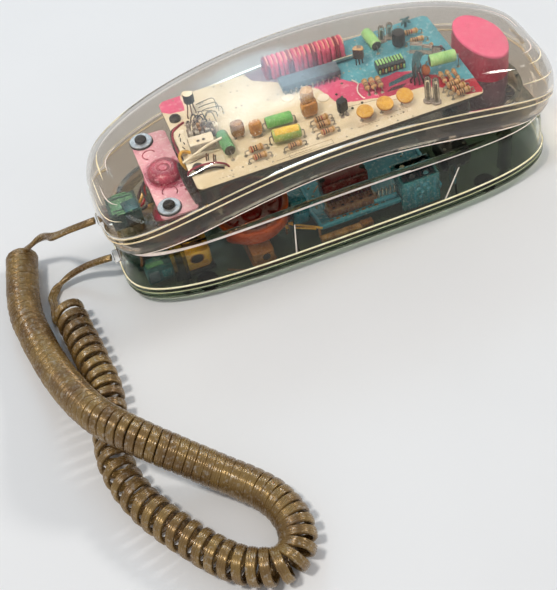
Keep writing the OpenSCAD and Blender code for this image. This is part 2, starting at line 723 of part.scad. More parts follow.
module red_capacitor() {
    color([0.42, 0.10, 0.12])
        translate([5.5, 18.3 - base_board_w / 2, base_board_top]) plate(23, 9, 9.5, 1.6);
}

module ringer_drum() {
    // a bowl that widens to its top, with a domed middle inside
    color([0.88, 0.40, 0.10]) translate([drum_x, drum_y, drum_z]) {
        rotate_extrude($fn = 96) polygon([[0, 0], [drum_r - 6, 0], [drum_r - 4.4, 1],
            [drum_r - 3, 3.4], [drum_r - 1.2, 8], [drum_r, drum_h - 1.6], [drum_r, drum_h - 0.4],
            [drum_r - 0.4, drum_h], [drum_r - 2.4, drum_h], [drum_r - 5, drum_h - 4],
            [5, drum_h - 6], [3.6, drum_h - 4.4], [0, drum_h - 4]]);
    }
}

module ringer_mount() {
    color([0.58, 0.36, 0.16]) translate([drum_x - 1.8, drum_y - 5.5, tray_floor]) {
        plate(10.6, 27.6, drum_z - tray_floor, 1.5);
    }
}

module line_transformer() {
    color([0.88, 0.62, 0.16]) translate([coil_x, coil_y, tray_floor + 2]) difference() {
        plate(coil_l, coil_w, 12.5, 3);
        translate([0, 0, -1]) plate(coil_l / 3, coil_w / 2, 20, 1);
    }
}

module transformer_core() {
    color([0.24, 0.22, 0.22]) translate([coil_x, coil_y, tray_floor]) {
        plate(coil_l / 3 - 0.2, coil_w / 2 - 0.2, 16, 0.9);
        plate(coil_l + 1, coil_w + 0.4, 2, 1);
        translate([0, 0, 14.5]) plate(coil_l - 5, coil_w - 2, 2, 1);
    }
}

module hook_switch() {
    color([0.20, 0.20, 0.22]) difference() {
        translate([plunger_x, 0, tray_floor]) plate(13, 14, switch_top - tray_floor, 1);
        translate([plunger_x, 0, tray_floor + 2])
            cylinder(r = 2 + slide_gap, h = 20, $fn = 32);
    }
}

module hook_plunger() {
    top = deck_z - 0.1;
    color([0.85, 0.83, 0.78]) translate([plunger_x, 0, 0]) {
        rotate_extrude($fn = 48) polygon([[0, switch_top - 6], [2, switch_top - 6],
            [2, 19.4], [5, 19.4], [5, 20.8], [plunger_r, 20.8],
            [plunger_r, top - 1], [plunger_r - 1, top], [0, top]]);
    }
}

module hook_spring() {
    turns = 5;
    color([0.70, 0.70, 0.72])
        sweep([for (k = [0:turns * 10]) let (a = 36 * k)
            [plunger_x + 3 * cos(a), 3 * sin(a),
             switch_top + 0.35 + (19.4 - switch_top - 0.7) * k / (turns * 10)]], 0.6, 5);
}

module line_jack() {
    color([0.12, 0.12, 0.13])
        translate([line_jack_x, base_w / 2 - 4.9, 0]) rotate([0, 0, -90])
            jack(0, line_jack_z, base_jack_l);
    color([0.12, 0.12, 0.13])
        translate([line_jack_x, base_w / 2 - 4.9 - base_jack_l / 2, tray_floor])
            plate(8, 8, line_jack_z - jack_h / 2 - tray_floor, 1);
}

module base_cord_jack() {
    color([0.10, 0.26, 0.26]) {
        jack(base_jack_x, base_jack_z, base_jack_l);
        translate([base_jack_x + base_jack_l / 2, 0, tray_floor])
            plate(8, 8, base_jack_z - jack_h / 2 - tray_floor, 1);
        // its carrier beside it, joined under the jack
        translate([base_jack_x + 12, -10.6, tray_floor]) plate(13, 8.8, 10.4, 1.2);
        translate([base_jack_x + base_jack_l / 2 + 2, -5, tray_floor]) plate(4, 8, 3, 0.8);
    }
}

module ringer_switch() {
    color([0.16, 0.16, 0.17]) difference() {
        translate([ringer_knob_x, base_w / 2 - 8.2, tray_floor])
            plate(20, 7, line_jack_z + 4 - tray_floor, 1);
        translate([ringer_knob_x, base_w / 2 - 5, line_jack_z])
            cube([13.2, 4.6, 4.2], center = true);
    }
}

module ringer_knob() {
    color([0.80, 0.20, 0.18])
        translate([ringer_knob_x - 3, base_w / 2 - 3.6, line_jack_z]) {
            cube([6, 7, 3.6], center = true);
            for (x = [-2, 0, 2]) translate([x, 3.5, 0]) cube([0.8, 0.8, 3.2], center = true);
        }
}

module base_wires() {
    color([0.75, 0.15, 0.12]) {
        for (y = [-2.4, 0, 2.4]) sweep(smooth([
            [base_jack_x + base_jack_l + 0.7, y, base_jack_z], [base_jack_x + 18, y + 9, 12],
            [coil_x + 4.5, 14 + y, 7], [line_jack_x - 6, base_w / 2 - 19.2 + y, 6],
            [-32, 12 + y, 7], [-18.4 + 0.8 * y, 5.2, 12]], 2), 1.1, 6);
        for (y = [-1.4, 1.4]) sweep(smooth([[drum_x + 6, drum_y + 8.5 + y, drum_z - 0.7],
            [-29, 4 + y, 6.2], [-25.5, 3.4 + y, 6], [-22.6, 2 + y, 7.6]], 2), 1.1, 6);
    }
}

module rubber_feet() {
    color([0.10, 0.10, 0.10])
        for (x = [-1, 1], y = [-1, 1]) translate([x * (foot_x - 10), y * foot_y, 0])
            cylinder(r1 = 4.6, r2 = 5, h = foot_h, $fn = 48);
}

module base_screws() {
    color([0.60, 0.60, 0.62])
        for (x = [-1, 1], y = [-1, 1]) translate([x * foot_x, y * foot_y, foot_h - 0.9])
            difference() {
                union() {
                    cylinder(r = 2.8, h = 0.9, $fn = 32);
                    cylinder(r = 1.45, h = 16, $fn = 24);
                }
                for (turn = [0, 90]) rotate([0, 0, turn]) cube([3.4, 0.7, 1], center = true);
            }
}

// ---------- cord ----------

module handset_plug() {
    color([0.80, 0.78, 0.70]) plug(handset_jack_x, handset_jack_z, handset_jack_l);
}

module handset_lead() {
    color([0.60, 0.48, 0.25]) sweep(smooth(handset_lead_route, 2), cord_d, 8);
}

module curly_cord() {
    color([0.60, 0.48, 0.25]) sweep(coil_route, coil_d, 12);
}

module base_lead() {
    color([0.60, 0.48, 0.25]) sweep(smooth(base_lead_route, 2), cord_d, 8);
}

module base_plug() {
    color([0.80, 0.78, 0.70]) plug(base_jack_x, base_jack_z, base_jack_l);
}

top_shell();
face_shell();
keypad_plate();
key_membrane();
keypad_board();
main_board();
resistors();
green_capacitors();
disc_capacitors();
film_capacitors();
transistors();
dialler_chips();
ribbon_cable();
tone_switch();
receiver_capsule();
receiver_boot();
microphone_boot();
strap_bracket();
strap_washers();
strap_screws();
handset_jack();
handset_wires();
cradle_shell();
base_tray();
base_board();
coil_bank();
blue_relays();
red_capacitor();
ringer_drum();
ringer_mount();
line_transformer();
transformer_core();
hook_switch();
hook_plunger();
hook_spring();
line_jack();
base_cord_jack();
ringer_switch();
ringer_knob();
base_wires();
rubber_feet();
base_screws();
handset_plug();
handset_lead();
curly_cord();
base_lead();
base_plug();
for (k = [0:11])
    key(k);
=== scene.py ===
# %% [markdown]
# # A see-through telephone
# The object is a telephone whose shells are clear, smoky plastic, so that its
# boards, coils and wires are all on show.  This lesson builds it around a fixed
# engineering model: every piece is placed in the same frame, and it rides on one
# of that model's bodies.  The first cell loads the model.

# %% Load the frame
import random
from math import atan2, copysign, cos, degrees, exp, hypot, pi, radians, sin, sqrt, tau

import bmesh
import bpy
from mathutils import Matrix, Vector


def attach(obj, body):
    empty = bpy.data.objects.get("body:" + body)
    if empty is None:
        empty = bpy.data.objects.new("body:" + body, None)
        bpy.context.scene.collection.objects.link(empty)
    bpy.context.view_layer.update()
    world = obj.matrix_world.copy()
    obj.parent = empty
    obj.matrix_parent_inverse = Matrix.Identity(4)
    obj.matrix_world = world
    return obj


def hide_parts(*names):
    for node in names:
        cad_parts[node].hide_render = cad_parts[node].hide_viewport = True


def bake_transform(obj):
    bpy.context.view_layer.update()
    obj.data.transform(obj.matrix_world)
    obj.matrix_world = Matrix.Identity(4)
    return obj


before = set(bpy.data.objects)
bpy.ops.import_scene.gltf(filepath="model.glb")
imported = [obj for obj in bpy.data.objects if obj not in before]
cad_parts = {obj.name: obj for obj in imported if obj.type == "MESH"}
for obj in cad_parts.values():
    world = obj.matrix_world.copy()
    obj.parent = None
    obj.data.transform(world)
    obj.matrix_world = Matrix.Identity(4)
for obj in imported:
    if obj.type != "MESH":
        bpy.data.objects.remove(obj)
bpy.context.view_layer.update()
MM = 0.001
UP = Vector((0, 0, 1))
print("nodes in the frame:", len(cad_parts))

# %% [markdown]
# ## Camera
# The telephone is seen from above its cord end, about fifty degrees down, with
# a little roll.  A camera matrix is clearer than three Euler angles here: its
# columns are the picture's right, the picture's up and the way back.

# %% Camera
VIEW_FROM = Vector((-108.5, -376.7, 385.2)) * MM
YAW, PITCH, ROLL = 0.2155, 0.8564, -0.1844
ahead = Vector((sin(YAW) * cos(PITCH), cos(YAW) * cos(PITCH), -sin(PITCH)))
level = Vector((cos(YAW), -sin(YAW), 0))
above = level.cross(ahead)
picture_right = level * cos(ROLL) + above * sin(ROLL)
picture_up = -level * sin(ROLL) + above * cos(ROLL)
lens = bpy.data.cameras.new("camera")
lens.lens = 69.48
lens.shift_x = -0.0306
lens.shift_y = 0.0094
lens.clip_start = 0.01
camera = bpy.data.objects.new("camera", lens)
bpy.context.collection.objects.link(camera)
turned = Matrix((picture_right, picture_up, -ahead)).transposed().to_4x4()
camera.matrix_world = Matrix.Translation(VIEW_FROM) @ turned
bpy.context.scene.camera = camera
bpy.context.scene.view_settings.view_transform = "Standard"
print("camera at", [round(v, 3) for v in VIEW_FROM])

# %% [markdown]
# ## A workbench for meshes
# Small parts come by the dozen, so one class collects them.  It works in
# millimetres, keeps a material for each face and makes one object at the end.
# Lathes, boxes and wires cover nearly everything inside a telephone.

# %% The mesh workbench
FINISHES = {}
DRESSED = "_dressed"


def across(axis):
    """two unit vectors at right angles to an axis"""
    side = axis.cross(UP)
    if side.length < 1e-4:
        side = Vector((1, 0, 0))
    side.normalize()
    return side, side.cross(axis).normalized() * -1


class Bench:
    """a bench may be lifted, so that heights on it are heights above a board"""
    def __init__(self, name, lift=0):
        self.name, self.lift = name, UP * lift
        self.points, self.faces, self.picks, self.finishes = [], [], [], []

    def pick(self, finish):
        if finish not in self.finishes:
            self.finishes.append(finish)
        return self.finishes.index(finish)

    def add(self, points, faces, finish):
        start = len(self.points)
        self.points += [Vector(p) + self.lift for p in points]
        self.faces += [[start + i for i in f] for f in faces]
        self.picks += [self.pick(finish)] * len(faces)

    def rings(self, rings, finish, close_ends=(True, True), finishes=None):
        """a skin over rings of equal count; finishes names one for each band"""
        n = len(rings[0])
        start = len(self.points)
        for ring in rings:
            self.points += [Vector(p) + self.lift for p in ring]
        for k in range(len(rings) - 1):
            band = self.pick(finishes[k] if finishes else finish)
            for i in range(n):
                a, b = start + k * n + i, start + k * n + (i + 1) % n
                self.faces.append([a, b, b + n, a + n])
                self.picks.append(band)
        last = start + (len(rings) - 1) * n
        if close_ends[0]:
            self.faces.append([start + i for i in reversed(range(n))])
            self.picks.append(self.pick(finishes[0] if finishes else finish))
        if close_ends[1]:
            self.faces.append([last + i for i in range(n)])
            self.picks.append(self.pick(finishes[-1] if finishes else finish))

    def lathe(self, foot, profile, finish, n=24, axis=UP, finishes=None, close_ends=(True, True)):
        """turn (radius, height) pairs round an axis from a foot point"""
        foot, axis = Vector(foot), Vector(axis).normalized()
        side, up = across(axis)
        rings = [[foot + axis * h + (side * cos(a) + up * sin(a)) * max(r, 0.01)
                for a in (tau * i / n for i in range(n))] for r, h in profile]
        self.rings(rings, finish, close_ends, finishes)

    def rod(self, a, b, r, finish, n=12, edge=0.2):
        """a cylinder with softened ends"""
        a, b = Vector(a), Vector(b)
        h = (b - a).length
        e = min(edge, r * 0.6, h * 0.3)
        self.lathe(a, [(r - e, 0), (r - 0.3 * e, 0.25 * e), (r, e), (r, h - e),
                (r - 0.3 * e, h - 0.25 * e), (r - e, h)], finish, n, b - a)

    def block(self, centre, size, finish, round_off=0.5, corner=None, turn=0, n=5, edge=None):
        """a box with rounded uprights and softened top and bottom edges"""
        length, width, height = size
        corner = min(corner if corner is not None else round_off, length / 2 - 0.01, width / 2 - 0.01)
        e = min(edge if edge is not None else round_off, height / 2 - 0.01, corner)

        def outline(cut):
            pts = []
            r = max(corner - cut, 0.02)
            for q, (sx, sy) in enumerate(((1, 1), (-1, 1), (-1, -1), (1, -1))):
                for i in range(n + 1):
                    a = pi / 2 * (q + i / n)
                    pts.append((sx * (length / 2 - corner) + r * cos(a),
                            sy * (width / 2 - corner) + r * sin(a)))
            return pts
        spin = Matrix.Rotation(radians(turn), 3, "Z")
        centre = Vector(centre)
        levels = [(e, 0), (e * 0.3, e * 0.3), (0, e), (0, height - e), (e * 0.3, height - e * 0.3),
            (e, height)]
        self.rings([[centre + spin @ Vector((x, y, z)) for x, y in outline(cut)] for cut, z in levels],
            finish)

    def blocks(self, *rows):
        """one block a row: centre, size, finish, softness, corner and turn"""
        for row in rows:
            self.block(*row)

    def wire(self, points, r, finish, n=8, steps=4):
        """a round wire along a smooth curve through points"""
        self.rings(wire_rings(smooth_route(points, steps), r, n), finish)

    def wires(self, *rows):
        """one wire a row: points, radius, finish and the sides of its section"""
        for row in rows:
            self.wire(*row)

    def make(self, body, slot=None, replaced=(), smooth=35):
        """a bench named NODE_dressed takes the place of that node"""
        mesh = bpy.data.meshes.new(self.name)
        mesh.from_pydata([p * MM for p in self.points], [], self.faces)
        for finish in self.finishes:
            mesh.materials.append(FINISHES[finish])
        mesh.polygons.foreach_set("material_index", self.picks)
        if body and self.name.endswith(DRESSED):
            replaced = (self.name.removesuffix(DRESSED),)
        return place(self.name, mesh, body, replaced, smooth)

# %% Placing a mesh


def place(name, mesh, body, replaced, smooth):
    """clean a mesh, turn its faces outward and hang it on a body"""
    tidy = bmesh.new()
    tidy.from_mesh(mesh)
    bmesh.ops.remove_doubles(tidy, verts=tidy.verts, dist=2e-6)
    bmesh.ops.recalc_face_normals(tidy, faces=tidy.faces)
    tidy.to_mesh(mesh)
    tidy.free()
    mesh.polygons.foreach_set("use_smooth", [True] * len(mesh.polygons))
    if smooth < 180:
        mesh.set_sharp_from_angle(angle=radians(smooth))
    made = bpy.data.objects.new(name, mesh)
    bpy.context.collection.objects.link(made)
    if body:
        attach(made, body)
    if replaced:
        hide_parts(*replaced)
    print(name, "has", len(mesh.polygons), "faces")
    return made

# %% Routes and wires


def smooth_route(points, steps):
    """a Catmull-Rom curve through given points"""
    p = [Vector(q) for q in points]
    path = []
    for i in range(len(p) - 1):
        a, b, c, d = p[max(i - 1, 0)], p[i], p[i + 1], p[min(i + 2, len(p) - 1)]
        for k in range(steps):
            t = k / steps
            path.append(0.5 * (2 * b + (c - a) * t + (2 * a - 5 * b + 4 * c - d) * t * t
                    + (3 * b - a - 3 * c + d) * t ** 3))
    return path + [p[-1]]


def wire_rings(path, r, n):
    """round rings along a path, carried from one to the next without a twist"""
    rings, side = [], None
    for i, p in enumerate(path):
        along = (path[min(i + 1, len(path) - 1)] - path[max(i - 1, 0)]).normalized()
        if side is None:
            side = across(along)[0]
        side = (side - along * side.dot(along)).normalized()
        up = side.cross(along)
        rings.append([p + (side * cos(tau * k / n) + up * sin(tau * k / n)) * r for k in range(n)])
    return rings


print("mesh workbench ready")

# %% [markdown]
# ## Finishes: one shared effect
# Moulded plastic is never one flat colour.  A node group gives every material
# the same kind of life: a slow drift between two colours, fine specks, and a
# height for a Bump node.  It only puts out colours and values, and the
# Principled shader stays in each material.

# %% The mottle group


def node(tree, kind, inputs=(), **values):
    """a shader node; each input is given a value, or an output to link to"""
    made = tree.nodes.new(kind)
    for key, value in values.items():
        setattr(made, key, value)
    feed(tree, made, inputs)
    return made


def feed(tree, made, inputs):
    for key, value in dict(inputs).items():
        if isinstance(value, bpy.types.NodeSocket):
            tree.links.new(value, made.inputs[key])
        else:
            made.inputs[key].default_value = value


def socket(group, name, kind, way, default=None):
    made = group.interface.new_socket(name, in_out=way, socket_type="NodeSocket" + kind)
    if default is not None:
        made.default_value = default


mottle = bpy.data.node_groups.new("mottle", "ShaderNodeTree")
for name, kind, way, default in (
        ("Colour", "Color", "INPUT", (0.8, 0.8, 0.8, 1)), ("Second", "Color", "INPUT",
            (0.6, 0.6, 0.6, 1)),
        ("Scale", "Float", "INPUT", 150.0), ("Specks", "Float", "INPUT", 0.2), ("Gloss", "Float",
            "INPUT", 0.4),
        ("Colour", "Color", "OUTPUT", None), ("Roughness", "Float", "OUTPUT", None),
        ("Height", "Float", "OUTPUT", None)):
    socket(mottle, name, kind, way, default)


def build_mottle(tree):
    given = node(tree, "NodeGroupInput").outputs
    where = node(tree, "ShaderNodeTexCoord").outputs["Object"]
    slow = node(tree, "ShaderNodeTexNoise",
        {"Vector": where, "Scale": given["Scale"], "Detail": 4}).outputs["Fac"]
    spread = node(tree, "ShaderNodeMapRange", {"Value": slow, "From Min": 0.35, "From Max": 0.65})
    drift = node(tree, "ShaderNodeMix",
        {"Factor": spread.outputs["Result"], "A": given["Colour"], "B": given["Second"]},
        data_type="RGBA")
    finer = node(tree, "ShaderNodeMath", {0: given["Scale"], 1: 7.0}, operation="MULTIPLY")
    fine = node(tree, "ShaderNodeTexNoise",
        {"Vector": where, "Scale": finer.outputs[0], "Detail": 2}).outputs["Fac"]
    dots = node(tree, "ShaderNodeMapRange", {"Value": fine, "From Min": 0.56, "From Max": 0.72})
    amount = node(tree, "ShaderNodeMath", {0: dots.outputs["Result"], 1: given["Specks"]},
        operation="MULTIPLY")
    pale = node(tree, "ShaderNodeMix",
        {"Factor": amount.outputs[0], "A": drift.outputs["Result"], "B": (0.85, 0.83, 0.78, 1)},
        data_type="RGBA", blend_type="SCREEN")
    rough = node(tree, "ShaderNodeMath", {0: fine, 1: 0.25, 2: given["Gloss"]},
        operation="MULTIPLY_ADD")
    both = node(tree, "ShaderNodeMath", {0: fine, 1: 0.4, 2: slow}, operation="MULTIPLY_ADD")
    node(tree, "NodeGroupOutput", {"Colour": pale.outputs["Result"], "Roughness": rough.outputs[0],
            "Height": both.outputs[0]})


build_mottle(mottle)
print("mottle group with", len(mottle.nodes), "nodes")

# %% [markdown]
# ## The opaque finishes
# Each line below is one finish: its two colours, the size of its drift, its
# specks, its gloss and its bump.  Metals add a metallic value.  The table keeps
# them easy to compare, and one helper turns a line into a material.

# %% The table of finishes


def rgb(text):
    """a colour written as in a picture editor, as linear values"""
    parts = [int(text[i:i + 2], 16) / 255 for i in (0, 2, 4)]
    return [c / 12.92 if c <= 0.04045 else ((c + 0.055) / 1.055) ** 2.4 for c in parts] + [1]


def new_material(name):
    made = bpy.data.materials.new(name)
    made.use_nodes = True
    shader = made.node_tree.nodes["Principled BSDF"]
    FINISHES[name] = made
    return made, made.node_tree, shader


def mottled(tree, shader, first, second, scale, specks, gloss):
    """place the shared effect and lead it to a shader's colour and roughness"""
    life = node(tree, "ShaderNodeGroup",
        {"Colour": first, "Second": second, "Scale": scale, "Specks": specks, "Gloss": gloss},
        node_tree=mottle)
    feed(tree, shader, {"Base Color": life.outputs["Colour"], "Roughness": life.outputs["Roughness"]})
    return life


def relief(tree, shader, height, strength, depth):
    """a Bump node between a height and a shader"""
    bump = node(tree, "ShaderNodeBump", {"Height": height, "Strength": strength, "Distance": depth})
    feed(tree, shader, {"Normal": bump.outputs["Normal"]})


def opaque(name, first, second, scale=150, specks=0.15, gloss=0.3, bump=0.05, metal=0.0, coat=0.0):
    made, tree, shader = new_material(name)
    life = mottled(tree, shader, rgb(first), rgb(second), scale, specks, gloss - 0.12)
    relief(tree, shader, life.outputs["Height"], bump, 0.0004)
    feed(tree, shader, {"Metallic": metal, "Coat Weight": coat, "Coat Roughness": 0.12})
    return shader


OPAQUE = [
    ("resistor_body", "c9a477", "b98d5e", 900, 0.2, 0.35),
    ("band_brown", "5a2a14", "4a2010", 900, 0.1, 0.35),
    ("band_red", "9c1f24", "861a1c", 900, 0.1, 0.35),
    ("band_black", "1c1816", "262020", 900, 0.1, 0.35),
    ("band_gold", "b08a3a", "9a7630", 900, 0.1, 0.3, 0.05, 0.6),
    ("tinned", "b9b4aa", "8f8a82", 800, 0.1, 0.3, 0.05, 0.9),
    ("green_sleeve", "7cc26a", "64ad5c", 300, 0.25, 0.28, 0.05, 0, 0.5),
    ("pale_green_sleeve", "a9d98a", "8cc878", 300, 0.25, 0.28, 0.05, 0, 0.5),
    ("gold_green_sleeve", "b9b25c", "7fae5a", 220, 0.35, 0.28, 0.05, 0, 0.5),
    ("speckled_green", "5fa86a", "3f8052", 1500, 0.9, 0.3, 0.05, 0, 0.4),
    ("sleeve_end", "3a3a34", "55503f", 700, 0.2, 0.4),
    ("yellow_ceramic", "d9a944", "c48f2e", 500, 0.35, 0.32, 0.1),
    ("amber_dip", "c98f48", "a06828", 260, 0.3, 0.22, 0.04, 0, 0.7),
    ("brown_dip", "b08046", "865a2c", 260, 0.35, 0.25, 0.04, 0, 0.6),
    ("pale_dip", "dcb26c", "c08c44", 260, 0.4, 0.25, 0.04, 0, 0.6),
    ("black_plastic", "1b1919", "262322", 500, 0.08, 0.4, 0.08),
    ("brown_plastic_small", "5b4034", "3c2a22", 500, 0.1, 0.4, 0.08),
    ("chip_plastic", "5b6e7c", "47545f", 400, 0.2, 0.38, 0.08),
    ("chip_edge", "1f2a2c", "2c3638", 400, 0.1, 0.4, 0.08),
    ("grey_part", "8d8478", "6f675c", 250, 0.3, 0.4, 0.06),
    ("orange_part", "c8713a", "b05c28", 400, 0.3, 0.35, 0.06),
    ("dark_teal", "1d5a62", "154650", 300, 0.15, 0.3, 0.05, 0, 0.3),
    ("pink_wire", "e0567c", "c23e62", 300, 0.25, 0.35, 0.05, 0, 0.3),
    ("crimson_wire", "9c1c3c", "7a1430", 300, 0.15, 0.35, 0.05, 0, 0.3),
    ("maroon_wire", "4a1822", "35121a", 300, 0.15, 0.4),
    ("brown_wire", "6b4326", "55341c", 300, 0.15, 0.4),
    ("white_wire", "efece4", "dcd6ca", 300, 0.15, 0.4),
    ("yellow_wire", "d8a83c", "c08e28", 300, 0.15, 0.35, 0.05, 0, 0.3),
    ("red_wire", "a81c20", "8a1418", 300, 0.15, 0.4),
    ("dark_wire", "20181a", "2c2022", 300, 0.15, 0.4),
    ("silver_pins", "d6d2ca", "aaa69c", 900, 0.1, 0.22, 0.03, 0.95),
    ("copper", "b06a3c", "8a4c26", 500, 0.2, 0.3, 0.06, 0.75),
    ("steel_washer", "c2c8d0", "9aa2ae", 600, 0.2, 0.3, 0.06, 0.6),
    ("black_steel", "17171a", "222226", 500, 0.1, 0.3, 0.08, 0.4),
    ("teal_moulding", "1f8292", "176672", 160, 0.25, 0.26, 0.05, 0, 0.5),
    ("blue_moulding", "2a8fa8", "1d6f88", 160, 0.3, 0.26, 0.05, 0, 0.5),
    ("dark_red_moulding", "7c1c22", "5c1218", 160, 0.2, 0.28, 0.05, 0, 0.5),
    ("orange_moulding", "e05a14", "c44408", 120, 0.1, 0.3, 0.05, 0, 0.5),
    ("brown_moulding", "a86e34", "865222", 160, 0.2, 0.3, 0.05, 0, 0.4),
    ("yellow_moulding", "f0bc42", "d89a24", 180, 0.2, 0.28, 0.05, 0, 0.5),
    ("amber_winding", "a8641c", "7c4410", 700, 0.3, 0.3, 0.2, 0.2, 0.4),
    ("iron_core", "2e2b2b", "403b38", 600, 0.2, 0.42, 0.2, 0.6),
    ("key_plastic", "d9d4c6", "c8c2b2", 120, 0.2, 0.35, 0.06, 0, 0.2),
    ("digit_ink", "232323", "2e2e2e", 500, 0.1, 0.45),
    ("red_knob_plastic", "b8261e", "961a14", 300, 0.2, 0.32, 0.06, 0, 0.3),
    ("foot_rubber", "1a1a1b", "262627", 400, 0.12, 0.7, 0.2),
    ("capsule_plastic", "2b292b", "38353a", 250, 0.1, 0.4, 0.08),
    ("membrane_rubber", "bdb9ae", "a8a498", 200, 0.15, 0.55, 0.06),
    # the keypad board's dark olive brown is painted shade under the main board
    ("keypad_board_green", "4e4630", "3c3426", 200, 0.15, 0.4, 0.06),
    ("switch_plastic", "2a2a2e", "38383c", 250, 0.1, 0.4, 0.08),
    ("spring_steel", "b0b0b6", "8a8a90", 700, 0.1, 0.25, 0.04, 0.9),
    ("jack_teal", "1c4a46", "123632", 250, 0.15, 0.3, 0.06, 0, 0.4),
    ("pad_solder", "b8b2a4", "8c867a", 900, 0.2, 0.3, 0.1, 0.8),
    # painted shade: the last finish is a near black laid flat where holes, slots and bores would be
    # dark inside
    ("hole_shade", "2a1a18", "1c1210", 900, 0.05, 0.5, 0.02)]
for row in OPAQUE:
    opaque(*row)
print(len(FINISHES), "opaque finishes")

# %% [markdown]
# ## The cord comes first
# The cord is a flat ribbon of four strands.  It leaves the handset, winds into
# a long curly part that lies on the table, and goes back into the base.  One
# centreline makes the whole of it: a smooth route, and round it a helix whose
# turns are close in front and loose behind.  The section is turned so that the
# flat of the ribbon always faces away from the axis of the coil.

# %% The cord's routes
HANDSET_LEAD = [(-109, 0, 39), (-114, 1, 37.9), (-121, 4.5, 34.4), (-129, 10.5, 28.2),
    (-136, 20.5, 20.5), (-141.6, 28, 12.2)]
BASE_LEAD = [(-107.7, 0, 14), (-113, 1.4, 13), (-120, 5, 9.2), (-128, 6.5, 5.6), (-135, 4.5, 3.2),
    (-139.2, -0.5, 2.4), (-139.4, -6, 2.8), (-137, -10.4, 4.6), (-134.6, -13.2, 6.8)]
COIL = [(-147, 25.5, 7.9), (-149.5, 12, 7.9), (-151.5, -1, 7.9), (-152, -13, 7.9), (-150.5, -26, 7.9),
    (-148.5, -39, 8.6), (-145.5, -54, 11.5), (-141.5, -70, 16.5), (-137.5, -83, 21),
    (-132.5, -94.5, 24), (-125.5, -104, 24.2), (-117.5, -112, 21.5), (-108, -119.5, 16.5),
    (-98.5, -127, 11.5), (-90, -134.5, 8.6), (-83, -143, 7.9), (-79, -151.5, 7.9), (-77.5, -161, 7.9),
    (-80, -169.5, 7.9), (-86.5, -174, 7.9), (-94, -172.5, 7.9), (-102, -167.5, 7.9), (-109, -160, 7.9),
    (-115, -151.5, 7.9), (-120.5, -143, 7.9), (-125.5, -134, 7.9), (-129.5, -125, 7.9),
    (-132.5, -115, 7.9), (-133.8, -104, 7.9), (-132.5, -90, 7.9), (-129.8, -77, 7.9), (-129, -65, 7.9),
    (-130, -54, 7.9), (-131, -43, 7.9), (-132.5, -30, 7.9), (-134.2, -15.5, 7.9)]
CORD_W, CORD_T = 4.1, 2.3
COIL_R = 15.5 / 2 - CORD_T / 2 - 0.1
POINTS_A_TURN = 16
FRONT_PITCH, LOOP_PITCH, REAR_PITCH = 3.9, 4.9, 6.3


def measured(path):
    """how far along each point of a path is"""
    far = [0.0]
    for a, b in zip(path, path[1:]):
        far.append(far[-1] + (b - a).length)
    return far


coil_line = smooth_route(COIL, 12)
coil_far = measured(coil_line)


def on_coil(s):
    """place and direction on the coil's own axis, s millimetres along"""
    k = min(range(len(coil_far)), key=lambda i: abs(coil_far[i] - s))
    k = max(0, min(k, len(coil_line) - 2))
    if coil_far[k] > s and k > 0:
        k -= 1
    part = (s - coil_far[k]) / (coil_far[k + 1] - coil_far[k])
    place_now = coil_line[k].lerp(coil_line[k + 1], part)
    before = coil_line[max(k - 3, 0)]
    after = coil_line[min(k + 4, len(coil_line) - 1)]
    return place_now, (after - before).normalized()


def pitch_at(share):
    """turns are tight in front, open up in the loop and loose behind"""
    if share < 0.44:
        return FRONT_PITCH
    if share < 0.6:
        return FRONT_PITCH + (LOOP_PITCH - FRONT_PITCH) * (share - 0.44) / 0.16
    if share < 0.7:
        return LOOP_PITCH + (REAR_PITCH - LOOP_PITCH) * (share - 0.6) / 0.1
    return REAR_PITCH


print("coil axis", round(coil_far[-1]), "mm")

# %% [markdown]
# The helix starts where the lead reaches the coil, on its outer skin, so the
# lead runs into the first turn.

# %% The cord's centreline
random.seed(7)
helix, outward = [], []
START_ANGLE, SWAYS = radians(60), 260
s, angle, total = 0.0, START_ANGLE, coil_far[-1]
sway = [random.uniform(-1, 1) for _ in range(SWAYS)]
while s < total:
    centre, along = on_coil(s)
    side = along.cross(UP).normalized()
    up = side.cross(along)
    turn_no = angle / tau
    k = int(turn_no)
    uneven = sway[k % SWAYS] * (1 - (turn_no - k)) + sway[(k + 1) % SWAYS] * (turn_no - k)
    share = s / total
    r = COIL_R - 0.12 - 0.12 * uneven
    out = side * cos(angle) - up * sin(angle)
    helix.append(centre + out * r)
    outward.append(out)
    step = tau / POINTS_A_TURN
    angle += step
    s += pitch_at(share) * (1 + 0.12 * uneven * (1 if share > 0.6 else 0.35)) / POINTS_A_TURN
turns = (angle - START_ANGLE) / tau
print("turns in the coil:", round(turns, 1))


def join(lead, first, second):
    """carry a lead's last points smoothly on to the coil's first ones"""
    target, then = first, (first - second).normalized()
    path = smooth_route(lead + [tuple(target + then * 4.5), tuple(target)], 5)
    return path[:-1]


lead_in = join(HANDSET_LEAD[:-1], helix[0], helix[1])
lead_out = join(BASE_LEAD[:-2], helix[-1], helix[-2])[::-1]
cord_line = lead_in + helix + lead_out
cord_out = [None] * len(lead_in) + outward + [None] * len(lead_out)

# %% [markdown]
# The ribbon's section has four round strands side by side, drawn as a wavy
# outline.  Along the leads the flat side turns slowly from upright to the
# coil's outward direction.

# %% The cord's section


def ribbon_section():
    """a wavy outline: four strands across the width, round edges"""
    pts = []
    strands, per = 4, 5
    half = CORD_W / 2
    for side in (1, -1):
        for i in range(strands * per):
            u = -half + CORD_W * (i + 0.5) / (strands * per)
            wave = abs(sin(pi * (i + 0.5) / per))
            edge = max(0.0, 1 - (abs(u) / half) ** 5)
            pts.append((u * side, side * (CORD_T / 2) * (0.72 + 0.28 * wave) * (0.35 + 0.65 * edge)))
    return pts


section = ribbon_section()


